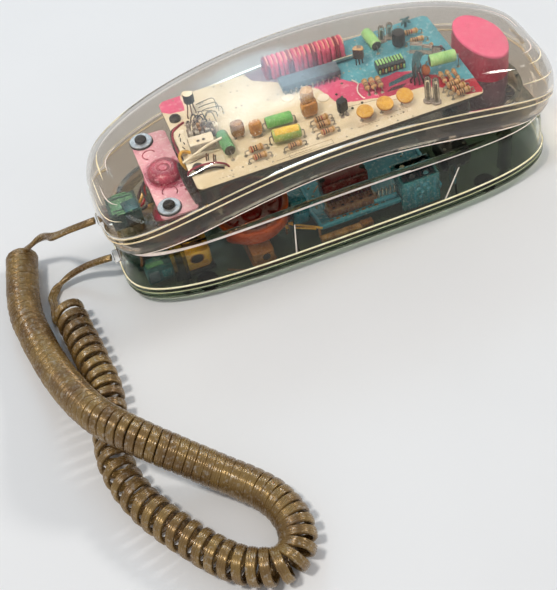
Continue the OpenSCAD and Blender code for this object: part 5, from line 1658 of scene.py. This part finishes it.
socket_part = Bench("line_jack_dressed")
jack(socket_part, (SOCKET_X, 29.3, 16), JACK_L, Matrix.Rotation(radians(-90), 3, "Z"), "black_plastic")
socket_part.block((-46, 22.3, 3.8), (8, 8, 8.1), "black_plastic", 0.6)
socket_part.make("base", "black_plastic")

# %% Plugs and handset wires


def plug(name, x, z, body, slot):
    bench = Bench(name)
    start = x - 3.3
    long = JACK_L + 3.3 - 2.4
    bench.block((start + long / 2, 0, z - 3.2), (long, 7.8, 6.4), "clear_part", 0.35)
    for k in range(4):
        bench.block((start + long - 3.2, -1.8 + 1.2 * k, z - 1.6), (3.6, 0.35, 3.6), "gold_spring",
            0.08)
    bench.block((start + long / 2 - 1.4, 0, z - 1.0), (long - 4.4, 4.0, 1.9), "brown_wire", 0.4)
    bench.lathe((start - 2.5, 0, z), [(2.4, 0), (3.0, 0.3), (3.0, 2.2), (2.8, 2.5)], "clear_part", 24,
        axis=(1, 0, 0))
    bench.block((start + 3.2, 0, z + 3.15), (6.4, 2.4, 0.5), "clear_part", 0.2)
    bench.make(body, slot)


plug("handset_plug_dressed", JACK_X, JACK_Z, "handset", "plug_plastic")
plug("base_plug_dressed", BASE_JACK_X, BASE_JACK_Z, "base", "plug_plastic")

wires = Bench("handset_wires_dressed")
for k, y in enumerate((-3, -1, 1, 3)):
    wires.wire([(-87.8, y, 40), (-84.8, 1.6 * y + 1.5, 42.5), (-80 + y, 9 + y, 45), (-65.5, 9 + y, 50),
            (-60 - 0.4 * y, 8 + y, 58), (-58, 6 + 1.2 * y, 62.1)], 0.55,
        ("dark_wire", "red_wire", "yellow_wire", "maroon_wire")[k], 8)
wires.make("handset", "wire")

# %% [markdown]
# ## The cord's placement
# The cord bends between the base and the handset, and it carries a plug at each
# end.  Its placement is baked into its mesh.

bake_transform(cord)

# %% [markdown]
# ## Inside the base
# The orange ringer is a bowl on a brown block.  The yellow transformer stands
# beside it, and the blue board carries a copper bank, a comb of silver pins, a
# dark red capacitor and a big blue relay that hooks over its front edge.

# %% Ringer
DRUM = Vector((-41, -6.5, 11))
drum = Bench("ringer_drum_dressed")
profile = [(11.6, 0), (12.0, 0), (12.8, 0.3), (13.6, 1), (14.4, 2.2), (15, 3.4), (15.9, 5.4), (16.8, 8),
    (17.5, 10), (17.9, 11.2), (18, 11.6), (18, 12.6), (17.8, 12.9), (17.4, 13), (15.8, 13),
    (15.5, 12.8), (14.4, 11), (13, 9), (9, 8), (5, 7), (4.4, 8), (3.6, 8.6), (1.6, 9), (0.1, 9)]
opaque("drum_red", "b81c14", "98120e", 120, 0.1, 0.3, 0.05, 0, 0.5)
drum.lathe(DRUM, profile, None, 96, finishes=["orange_moulding"] * 14 + ["drum_red"] * 9)
for h, r in ((2.6, 14.62), (11.0, 17.8)):
    drum.lathe(DRUM + UP * h, [(r, 0), (r + 0.14, 0.12), (r + 0.14, 0.36), (r, 0.48)],
        "orange_moulding", 96, close_ends=(False, False))
for k in range(12):
    a = tau * k / 12
    drum.block(DRUM + Vector((10.8 * cos(a), 10.8 * sin(a), 8.2)), (5, 0.8, 0.9), "drum_red", 0.25,
        turn=degrees(a))
drum.make("base", "orange_plastic", smooth=50)

mount = Bench("ringer_mount_dressed")
mount.blocks(
    ((-42.8, -12, 3.8), (10.6, 27.6, 7.2), "brown_moulding", 0.7, 1.5),
    ((-42.8, -12, 3.8), (11.6, 27.9, 1.0), "brown_moulding", 0.3, 1.6))
mount.lathe((-41.6, -25.72, 7.9), [(1.9, 0), (1.9, 0.2), (1.5, 0.34), (1.4, 0.1)], "hole_shade", 24,
    axis=(0, -1, 0))
mount.lathe((-45.6, -25.72, 7.4), [(0.7, 0), (0.7, 0.3), (0.4, 0.4)], "amber_winding", 14,
    axis=(0, -1, 0))
mount.block((-42.8, -25.85, 9.9), (8.8, 0.3, 0.5), "amber_winding", 0.1)
mount.make("base", "brown_plastic")

# %% Transformer
coil = Bench("line_transformer_dressed")
coil.block((-72.5, -8.6, 5.8), (16, 17, 12.5), "yellow_moulding", 1.4, 3.4)
coil_body = loose(coil)
cut(coil_body, [box_tool("yellow_moulding", (-72.5, -8.6, 3), (5.33, 8.5, 20), corner=1)], "DIFFERENCE")
finish_shell(coil_body, "base", "line_transformer")
trim = Bench("line_transformer_trim")
trim.lathe((-71.5, -17.12, 13.4), [(3.4, 0), (3.3, 0.16), (2.8, 0.2), (2.7, 0.02)], None, 32,
    axis=(0, -1, 0), finishes=["amber_winding", "amber_winding", "hole_shade"])
for k in range(5):
    trim.block((-72.5, -17.05, 6.6 + 0.9 * k), (11.6, 0.16, 0.4), "amber_winding", 0.05)
trim.make("base", "yellow_plastic")

# %% Amber winding and core
# a lump of amber winding, taped over, lies above the transformer
pack = Bench("amber_pack")
opaque("amber_tape", "d8a648", "a8742a", 160, 0.9, 0.3, 0.3, 0, 0.5)
dice = random.Random(31)
lump = []
for h, grow in ((0, 0.86), (0.8, 0.98), (2.4, 1.0), (3.8, 0.97), (4.6, 0.84)):
    ring = []
    for k in range(40):
        a = tau * k / 40
        c, s = cos(a), sin(a)
        reach = (abs(c) ** 3.2 + abs(s) ** 3.2) ** (-1 / 3.2) * grow
        ring.append((-81 + 9.4 * reach * c + 0.5 * sin(5 * a + h),
                1.5 + 14.5 * reach * s + 0.6 * sin(4 * a), 20.6 + h + dice.uniform(-0.12, 0.12)))
    lump.append(ring)
pack.rings(lump, "amber_tape")
for k in range(9):
    x, y = dice.uniform(-88, -74), dice.uniform(-10, 13)
    pack.block((x, y, 25.1), (dice.uniform(2, 5), dice.uniform(0.6, 1.6), 0.25),
        ("pale_strip", "amber_winding", "brown_moulding")[k % 3], 0.1, turn=dice.uniform(0, 180))
pack.make("base", "yellow_plastic")

core = Bench("transformer_core_dressed")
core.blocks(
    ((-72.5, -8.6, 3.8), (5.13, 8.3, 16), "iron_core", 0.2, 0.9),
    ((-72.5, -8.6, 3.8), (17, 17.4, 2), "iron_core", 0.2, 1),
    ((-72.5, -7.6, 18.3), (8.4, 9.6, 2), "iron_core", 0.3, 1))
for k in range(8):
    core.block((-72.5, -15.4 + 1.9 * k, 20.3), (10.4, 1.1, 0.12), "brown_plastic_small", 0.05)
core.lathe((-72.5, -12.4, 20.3), [(1.8, 0), (1.8, 0.25), (1.3, 0.32)], "hole_shade", 20)
core.make("base", "core")

# %% Base board
base_board = Bench("base_board_dressed")
opaque("board_blue", "2f8ba0", "1f7286", 90, 0.3, 0.38)
opaque("frame_blue", "56acc4", "3f98b4", 120, 0.3, 0.35)
base_board.block((17, 0, 8.4), (62, 44.4, 1.6), "board_blue", 0.25, 2)
for x, y, length, width in ((17, -21.3, 61.4, 1.5), (17, 21.3, 61.4, 1.5), (-13, 0, 1.5, 43),
        (47, 0, 1.5, 43)):
    base_board.block((x, y, 9.9), (length, width, 0.9), "frame_blue", 0.3)
dice = random.Random(21)
for k in range(26):
    x, y = dice.uniform(-10, 44), dice.uniform(-19.5, 19.5)
    length = dice.uniform(3, 9)
    base_board.block((x, y, 10), (length, 0.5, 0.08), "silver_pins" if k % 3 else "copper", 0.03,
        turn=dice.choice([0, 45, 90]))
for k in range(34):
    base_board.lathe((dice.uniform(-11, 45), dice.uniform(-19.8, 19.8), 10),
        [(0.7, 0), (0.65, 0.2), (0.3, 0.5)], "pad_solder", 8)
base_board.make("base", "blue_board")

# %% Coil bank
bank = Bench("coil_bank_dressed")
bank.blocks(
    ((4.5, -13.5, 10), (25, 9.4, 3.4), "copper", 0.4, 1),
    ((4.5, -13.5, 13.4), (24.6, 9.0, 1.6), "brown_moulding", 0.3, 1))
for k in range(5):
    x = -4.5 + 4.6 * k
    bank.lathe((x, -14.5, 14.9), [(1.9, 0), (1.9, 0.3), (1.4, 0.4), (1.2, 0.1)], "copper", 20)
    bank.lathe((x, -14.5, 15.1), [(0.9, 0), (0.85, 0.1)], "hole_shade", 14)
for k in range(16):
    bank.block((-7 + 1.5 * k, -18.3, 10.6), (0.7, 0.5, 3.6), "copper" if k % 2 else "brown_moulding",
        0.15)
for k in range(12):
    bank.block((-6.4 + 2 * k, -10.6, 15), (0.5, 2.4, 0.5), "gold_spring", 0.1)
bank.block((20.3, -16.9, 10), (11.4, 5, 3), "frame_blue", 0.4, 0.8)
for k in range(5):
    x = 17.1 + 2 * k
    bank.lathe((x, -17.7, 12.9), [(0.75, 0), (0.75, 0.4), (0.5, 0.6), (0.5, 5), (0.2, 5.6)],
        "silver_pins", 12)
    bank.wire([(x, -17.7, 17.6), (x + 0.1, -16.6, 18.4), (x + 0.2, -15.2, 18.1)], 0.3, "silver_pins", 6)
for k in range(9):
    bank.block((-7.4 + 3.2 * k, -20.4, 10.05), (1.7, 1.3, 1.1), "brown_dip" if k % 2 else "silver_pins",
        0.2)
bank.make("base", "copper")

# %% Relays and red capacitor
relays = Bench("blue_relays_dressed")
relays.blocks(
    ((36, -18.2, 10), (19, 13.6, 12), "teal_moulding", 0.9, 1.5),
    ((36, -18.2, 20.6), (17.4, 12, 1.4), "blue_moulding", 0.5, 1.2),
    ((36, -23.7, 4.2), (19, 2.4, 6.8), "teal_moulding", 0.5, 0.6))
for k in range(5):
    relays.block((29.4 + 3.3 * k, -25.1, 5), (1.4, 0.4, 15.6), "blue_moulding", 0.15)
for k, (x, y) in enumerate(((33, -20.4), (36.2, -17), (39.6, -20.8), (41.6, -16.2), (31, -15.4))):
    relays.lathe((x, y, 22), [(1.3, 0), (1.2, 0.3), (0.6, 0.5)],
        ("chip_plastic", "pale_strip", "frame_blue")[k % 3], 16)
for x, z, r in ((34.5, 16, 1.0), (37.6, 17.6, 1.2), (36.4, 13.4, 0.8), (39.4, 14.6, 0.9),
        (35.4, 10.6, 0.7)):
    relays.lathe((x, -25.0, z), [(r, 0), (r, 0.25), (r * 0.5, 0.42)], "frame_blue", 14, axis=(0, -1, 0))
relays.blocks(
    ((-18.4, -1.5, 3.8), (8, 13, 12.2), "teal_moulding", 0.7, 1.2),
    ((-18.4, -1.5, 15.8), (6.4, 11.4, 0.5), "blue_moulding", 0.2),
    ((-18.4, -8.05, 6), (5.6, 0.4, 8), "blue_moulding", 0.15))
relays.make("base", "blue_plastic")

red = Bench("red_capacitor_dressed")
red.blocks(
    ((5.5, -3.9, 10), (23, 9, 9.5), "dark_red_moulding", 0.9, 1.6),
    ((5.5, -8.42, 11.4), (20, 0.3, 0.5), "band_red", 0.1),
    ((5.5, -3.9, 19.45), (20.4, 6.4, 0.3), "band_red", 0.12))
for x in (-4.6, 15.6):
    red.lathe((x, -3.9, 19.4), [(1.4, 0), (1.4, 0.4), (0.9, 0.6)], "hole_shade", 16)
red.make("base", "red_plastic")

# %% Bars and wires
# yellow bars and dark leads that cross the base floor
bars = Bench("base_extras")
for x0, y0, x1, y1, z in ((-27.6, -9.6, -12.8, -22.5, 10), (-27.4, -13.2, -15.6, -21.6, 10),
        (-27.4, -9.6, -27.4, -14, 10)):
    bars.rod((x0, y0, z), (x1, y1, z), 0.6, "yellow_moulding", 12, 0.3)
for x, y in ((-27.4, -11.8), (-14.2, -21.9)):
    bars.rod((x, y, 3.9), (x, y, 10), 0.6, "brown_moulding", 12)
bars.wires(
    ([(-60, -22, 4.6), (-50, -27, 4.6), (-30, -28.6, 4.6), (-6, -29, 4.8), (10, -28.8, 4.6),
            (22, -27.8, 5)], 0.5, "brown_wire", 8),
    ([(-96, -12, 14.6), (-92, -3, 19), (-84, 2, 21), (-78, 0, 21.4), (-74, -4, 20.9)], 0.6,
        "brown_wire", 8),
    ([(-95, -11, 14.6), (-90, 0, 19.6), (-83, 6, 20), (-70, 8, 19), (-64, 4, 14)], 0.55, "dark_wire",
        8))
bars.blocks(
    ((-4, -24.4, 3.9), (22, 3.4, 2.2), "brown_dip", 0.5),
    ((8, -24.6, 4.0), (6, 3.0, 3.2), "amber_winding", 0.5))
bars.make("base", "brown_plastic")

wires = Bench("base_wires_dressed")
for k, y in enumerate((-2.4, 0, 2.4)):
    wires.wire([(-86.3, y, 14), (-83, y + 9, 12), (-68, 14 + y, 7), (-52, 15 + y, 6), (-32, 12 + y, 7),
            (-18.4 + 0.8 * y, 5.2, 12)], 0.55, ("red_wire", "yellow_wire", "dark_wire")[k], 8)
for y in (-1.4, 1.4):
    wires.wire([(-35, 2 + y, 10.3), (-29, 4 + y, 6.2), (-25.5, 3.4 + y, 6), (-22.6, 2 + y, 7.6)], 0.55,
        "red_wire" if y < 0 else "dark_wire", 8)
wires.make("base", "wire")

# %% [markdown]
# ## Switches, spring, feet and screws
# These are small and mostly hidden, but the base can be turned over.

# %% Hook switch
hook = Bench("hook_switch_dressed")
hook.block((PLUNGER_X, 0, 3.8), (13, 14, 10), "switch_plastic", 0.6, 1)
hook_body = loose(hook)
cut(hook_body, [round_tool("switch_plastic", (PLUNGER_X, 0, 5.8), [(2.06, 0), (2.06, 20)], 40)],
    "DIFFERENCE")
finish_shell(hook_body, "base", "hook_switch")
tabs = Bench("hook_switch_tabs")
for x in (57.4, 62, 66.6):
    tabs.block((x, -7.4, 4.4), (2.2, 1.2, 4), "silver_pins", 0.15)
    tabs.lathe((x, -8.0, 6.6), [(0.5, 0), (0.5, 0.15), (0.3, 0.2)], "hole_shade", 10, axis=(0, -1, 0))
for x, y in ((57, -5.4), (67, -5.4), (57, 5.4), (67, 5.4)):
    tabs.lathe((x, y, 13.7), [(0.9, 0), (0.85, 0.2), (0.4, 0.24)], "tinned", 14)
tabs.make("base", "black_plastic")

plunger = Bench("hook_plunger_dressed")
plunger.lathe((PLUNGER_X, 0, 7.8), [(1.6, 0), (2, 0.4), (2, 11.6), (4.8, 11.6), (5, 11.8), (5, 12.8),
        (4.8, 13), (3.5, 13), (3.5, 19.3), (3.2, 19.9), (2.6, 20.4), (1.2, 20.5), (0.1, 20.5)],
    "key_plastic", 48)
for k in range(6):
    a = tau * k / 6
    plunger.block((PLUNGER_X + 3.42 * cos(a) * 0.72, 3.42 * sin(a) * 0.72, 28.24), (1.1, 0.3, 0.05),
        "grey_part", 0.02, turn=degrees(a))
plunger.make("hook", "key_plastic")

spring = Bench("hook_spring_dressed")
spring.wire([(PLUNGER_X + 3 * cos(tau * k / 16), 3 * sin(tau * k / 16), 14.15 + 4.9 * k / 80)
        for k in range(81)], 0.3, "spring_steel", 8, 1)
spring.make("base", "steel", smooth=180)

# %% Ringer switch and knob
ringer = Bench("ringer_switch_dressed")
ringer.block((KNOB_X, 26, 3.8), (20, 7, 16.2), "switch_plastic", 0.5, 1)
ringer_body = loose(ringer)
cut(ringer_body, [box_tool("switch_plastic", (KNOB_X, 29.2, 13.9), (13.2, 4.6, 4.2), 0.05)],
    "DIFFERENCE")
finish_shell(ringer_body, "base", "ringer_switch")
lugs = Bench("ringer_switch_lugs")
for x in (12.6, 17.5, 22.5, 27.4):
    lugs.block((x, 22.7, 5), (1.6, 0.8, 3), "silver_pins", 0.12)
    lugs.wire([(x, 22.6, 7.6), (x + 0.4, 22.2, 9), (x + 0.2, 21, 10.4)], 0.3, "dark_wire", 6)
lugs.make("base", "black_plastic")

knob = Bench("ringer_knob_dressed")
knob.block((17, 30.6, 14.2), (6, 7, 3.6), "red_knob_plastic", 0.35)
for x in (-2.2, -1.1, 0, 1.1, 2.2):
    knob.block((17 + x, 34.1, 14.5), (0.5, 0.7, 3), "red_knob_plastic", 0.15)
knob.make("ringer", "red_knob")

feet = Bench("rubber_feet_dressed")
fixings = Bench("base_screws_dressed")

# %% Feet and screws
FOOT_X = 70
for sx, sy in CORNERS:
    feet.lathe((sx * FOOT_X, sy * FIXING_Y, 0),
        [(4.2, 0), (4.6, 0.15), (4.8, 0.8), (5, 1.4), (4.9, 1.6)], "foot_rubber", 40)
    for r in (1.4, 2.6, 3.7):
        feet.lathe((sx * FOOT_X, sy * FIXING_Y, 0),
            [(r - 0.18, 0.02), (r - 0.1, 0), (r + 0.1, 0), (r + 0.18, 0.02)], "foot_rubber", 32,
            close_ends=(False, False))
    at = Vector((sx * FIXING_X, sy * FIXING_Y, 0.7))
    fixings.lathe(at, [(2.2, 0), (2.6, 0.15), (2.8, 0.4), (2.8, 0.9), (1.45, 0.95), (1.45, 15.4),
            (1.0, 16)], "spring_steel", 28)
    for turn in (30, 120):
        fixings.block(at - UP * 0.02, (3.4, 0.7, 0.3), "hole_shade", 0.05, turn=turn)
    for k in range(10):
        fixings.lathe(at + UP * (1.6 + 1.3 * k), [(1.45, 0), (1.49, 0.2), (1.45, 0.4)], "spring_steel",
            20, close_ends=(False, False))
feet.make("base", "foot_rubber")
fixings.make("base", "steel")

# %% [markdown]
# ## Keypad
# The handset lies on its face, so the keys point down.  The plate, the rubber
# sheet and the keypad board are dressed here; each key rides on its own body.

# %% Keypad
plate = Bench("keypad_plate_dressed")
plate.block((0, 0, 46), (53.4, 42.4, 3.4), "switch_plastic", 0.4, 2.6)
plate_body = loose(plate)
opaque("track_gold", "8a7440", "6c5a30", 300, 0.2, 0.35, 0.05, 0.4)
KEYS = ["1", "2", "3", "4", "5", "6", "7", "8", "9", "star", "0", "hash"]


def key_at(k):
    return (1.5 - k // 3) * 13, (k % 3 - 1) * 14


cut(plate_body, [box_tool("switch_plastic", (*key_at(k), 44), (10.1, 11.3, 8), 0.05, 1.8)
        for k in range(12)], "DIFFERENCE")
finish_shell(plate_body, "handset", "keypad_plate")

# %% Membrane and keypad board
membrane = Bench("key_membrane_dressed")
membrane.block((0, 0, 53.6), (53.2, 41, 0.9), "membrane_rubber", 0.15, 2)
for x in (-26.1, 26.1):
    for y in (-7, 7):
        membrane.lathe((x, y, 49.4), [(0.5, 0), (0.5, 4.3)], "membrane_rubber", 14)
for k in range(12):
    x, y = key_at(k)
    membrane.lathe((x, y, 53.62), [(3.4, 0), (3.2, 0.08), (2.4, 0.1), (2.2, 0.02)], "membrane_rubber",
        28, axis=-UP)
membrane.make("handset", "key_rubber")

back = Bench("keypad_board_dressed")
# the keypad board's dark olive brown is painted shade under the main board
back.block((0, 0, 54.5), (56, 45, 1.6), "keypad_board_green", 0.2, 2)
for k in range(12):
    x, y = key_at(k)
    back.lathe((x, y, 54.5), [(2.4, 0), (2.3, 0.04)], "pad_solder", 24, axis=-UP)
dice = random.Random(8)
for k in range(22):
    x, y = dice.uniform(-25, 25), dice.uniform(-20, 20)
    back.block((x, y, 56.1), (dice.uniform(2, 7), 0.5, 0.06), "track_gold", 0.02,
        turn=dice.choice([0, 0, 45, 90]))
    back.lathe((x + 1, y - 1, 56.1), [(0.6, 0), (0.5, 0.2), (0.25, 0.35)], "pad_solder", 8)
back.make("handset", "green_board")

# %% [markdown]
# ## Keys
# Each key is a soft-edged cap with a flange and a stem.  Its digit is drawn in
# ink from strokes on a small grid, read from below with the earpiece at the top.

# %% Keys and digits
STROKES = {
    "1": [[(1, 3), (2, 4), (2, 0)], [(1, 0), (3, 0)]],
    "2": [[(0, 3), (1, 4), (2.4, 4), (3, 3), (3, 2.6), (0, 0), (3, 0)]],
    "3": [[(0, 4), (3, 4), (1.4, 2.4), (2.6, 2.2), (3, 1.2), (2.4, 0.1), (1, 0), (0, 0.6)]],
    "4": [[(2.2, 0), (2.2, 4), (0, 1.2), (3, 1.2)]],
    "5": [[(3, 4), (0.3, 4), (0.2, 2.3), (2, 2.4), (3, 1.5), (2.6, 0.3), (1.4, 0), (0, 0.4)]],
    "6": [[(2.8, 4), (1, 3), (0, 1.4), (0.6, 0.2), (2, 0), (3, 0.8), (2.6, 2), (1.2, 2.3), (0.1, 1.6)]],
    "7": [[(0, 4), (3, 4), (1.2, 0)]],
    "8": [[(1.5, 2.2), (0.3, 3), (0.6, 3.9), (2.4, 3.9), (2.7, 3), (1.5, 2.2), (0, 1.2), (0.5, 0),
            (2.5, 0), (3, 1.2), (1.5, 2.2)]],
    "9": [[(0.2, 0), (2, 1), (3, 2.6), (2.4, 3.8), (1, 4), (0, 3.2), (0.4, 2), (1.8, 1.7), (2.9, 2.4)]],
    "star": [[(1.5, 0.4), (1.5, 3.6)], [(0.1, 1.2), (2.9, 2.8)], [(0.1, 2.8), (2.9, 1.2)]],
    "0": [[(1.5, 4), (0.3, 3.2), (0.1, 1), (1.5, 0), (2.9, 1), (2.7, 3.2), (1.5, 4)]],
    "hash": [[(0.9, 0), (1.2, 4)], [(1.9, 0), (2.2, 4)], [(0, 1.3), (3, 1.3)],
        [(0.1, 2.7), (3.1, 2.7)]],
    }
for k, name in enumerate(KEYS):
    x, y = key_at(k)
    cap = Bench("key_" + name + "_dressed")
    cap.blocks(
        ((x, y, 44.4), (9.4, 10.6, 5.4), "key_plastic", 0.5, 1.5),
        ((x, y, 49.7), (11.6, 12.8, 0.9), "key_plastic", 0.1, 1.5))
    cap.lathe((x, y, 50), [(2, 0), (2, 1.6), (1.8, 1.8)], "key_plastic", 24)
    for line in STROKES[name]:
        cap.wire([(x + (v - 2) * 1.15, y + (u - 1.5) * 1.15, 44.4) for u, v in line], 0.22, "digit_ink",
            6, 2)
    cap.make("button_" + name, "key_plastic")

# %% [markdown]
# ## Floor and light
# A plain pale floor keeps the telephone's shadow.  Two small lamps, in front on
# the left and on the right, give crisp glints on the clear shells and leave the
# rest of them free of haze.  The world fills in from all round, and it is white
# for the camera and for the rays that glass sends on.

# %% Floor
FLOOR_HALF = 3
floor_mesh = bpy.data.meshes.new("floor")
floor_mesh.from_pydata([(x * FLOOR_HALF, y * FLOOR_HALF, 0) for x,
        y in ((-1, -1), (1, -1), (1, 1), (-1, 1))], [], [(0, 1, 2, 3)])
floor_finish, tree, shader = new_material("floor_paper")
mottled(tree, shader, (0.86, 0.86, 0.86, 1), (0.84, 0.84, 0.84, 1), 8, 0.0, 0.7)
shader.inputs["Specular IOR Level"].default_value = 0.1
floor_mesh.materials.append(floor_finish)
floor = bpy.data.objects.new("floor", floor_mesh)
bpy.context.collection.objects.link(floor)
print("floor laid")

# %% Lamps


def lamp(name, spot, aim, size, power, colour=(1, 1, 1), shape="DISK"):
    light = bpy.data.lights.new(name, "AREA")
    light.shape = shape
    light.size = size
    light.energy = power
    light.color = colour
    holder = bpy.data.objects.new(name, light)
    bpy.context.collection.objects.link(holder)
    holder.location = spot
    way = Vector(aim) - Vector(spot)
    holder.rotation_euler = way.to_track_quat("-Z", "Y").to_euler()
    return holder


lamp("key", (-0.9, -0.38, 2.3), (0, 0, 0.05), 0.34, 25, (1.0, 0.97, 0.92))
lamp("fill", (1.9, 0.2, 1.4), (0, 0, 0.05), 0.4, 15, (1.0, 0.98, 0.95))

# %% [markdown]
# ## A glare with soft edges
# The bright cloud on the dome is the mirror image of one lamp.  A lamp's own
# nodes can fade it towards its edges: Parametric gives the place on the lamp,
# and a little noise pulls the round fade into streaks.

# %% Glare lamp
GLARE_AT = Vector((-64.0, -17.5, 80.0)) * MM
GLARE_AWAY, GLARE_L, GLARE_W, GLARE_POWER = 1.0, 0.66, 0.5, 4.6
facing = Vector((-0.02, 0.0, 1)).normalized()
to_eye = (VIEW_FROM - GLARE_AT).normalized()
mirror = (2 * facing.dot(to_eye) * facing - to_eye).normalized()
glare = lamp("glare", GLARE_AT + mirror * GLARE_AWAY, GLARE_AT, GLARE_L, GLARE_POWER, (0.55, 0.8, 1.0),
    "RECTANGLE")
glare.data.size_y = GLARE_W
glare.data.use_nodes = True
tree = glare.data.node_tree
place_on = node(tree, "ShaderNodeNewGeometry").outputs["Parametric"]
streaks = node(tree, "ShaderNodeTexNoise", {"Vector": place_on, "Scale": 5.0, "Detail": 4.0})
shift = node(tree, "ShaderNodeVectorMath", {0: streaks.outputs["Color"], 1: (0.5, 0.5, 0.5)},
    operation="SUBTRACT")
small = node(tree, "ShaderNodeVectorMath", {0: shift.outputs["Vector"], "Scale": 0.22},
    operation="SCALE")
moved = node(tree, "ShaderNodeVectorMath", {0: small.outputs["Vector"], 1: place_on}, operation="ADD")
from_middle = node(tree, "ShaderNodeVectorMath", {0: moved.outputs["Vector"], 1: (0.5, 0.5, 0.0)},
    operation="DISTANCE")
fade = node(tree, "ShaderNodeMapRange",
    {"Value": from_middle.outputs["Value"], "From Min": 0.5, "From Max": 0.12},
    interpolation_type="SMOOTHERSTEP")
feed(tree, tree.nodes["Emission"], {"Strength": fade.outputs["Result"]})
print("lamps hung")

# %% World
world = bpy.data.worlds.new("studio")
bpy.context.scene.world = world
world.use_nodes = True
sky = world.node_tree
back = sky.nodes["Background"]
feed(sky, back, {"Color": (0.93, 0.95, 1.0, 1), "Strength": 0.4})
white = node(sky, "ShaderNodeBackground", {"Color": (1, 1, 1, 1), "Strength": 1.0})
rays = node(sky, "ShaderNodeLightPath").outputs
seen = node(sky, "ShaderNodeMath", {0: rays["Is Camera Ray"], 1: rays["Is Transmission Ray"]},
    operation="MAXIMUM")
choose = node(sky, "ShaderNodeMixShader",
    {"Fac": seen.outputs[0], 1: back.outputs["Background"], 2: white.outputs["Background"]})
feed(sky, sky.nodes["World Output"], {"Surface": choose.outputs["Shader"]})
print("world set")
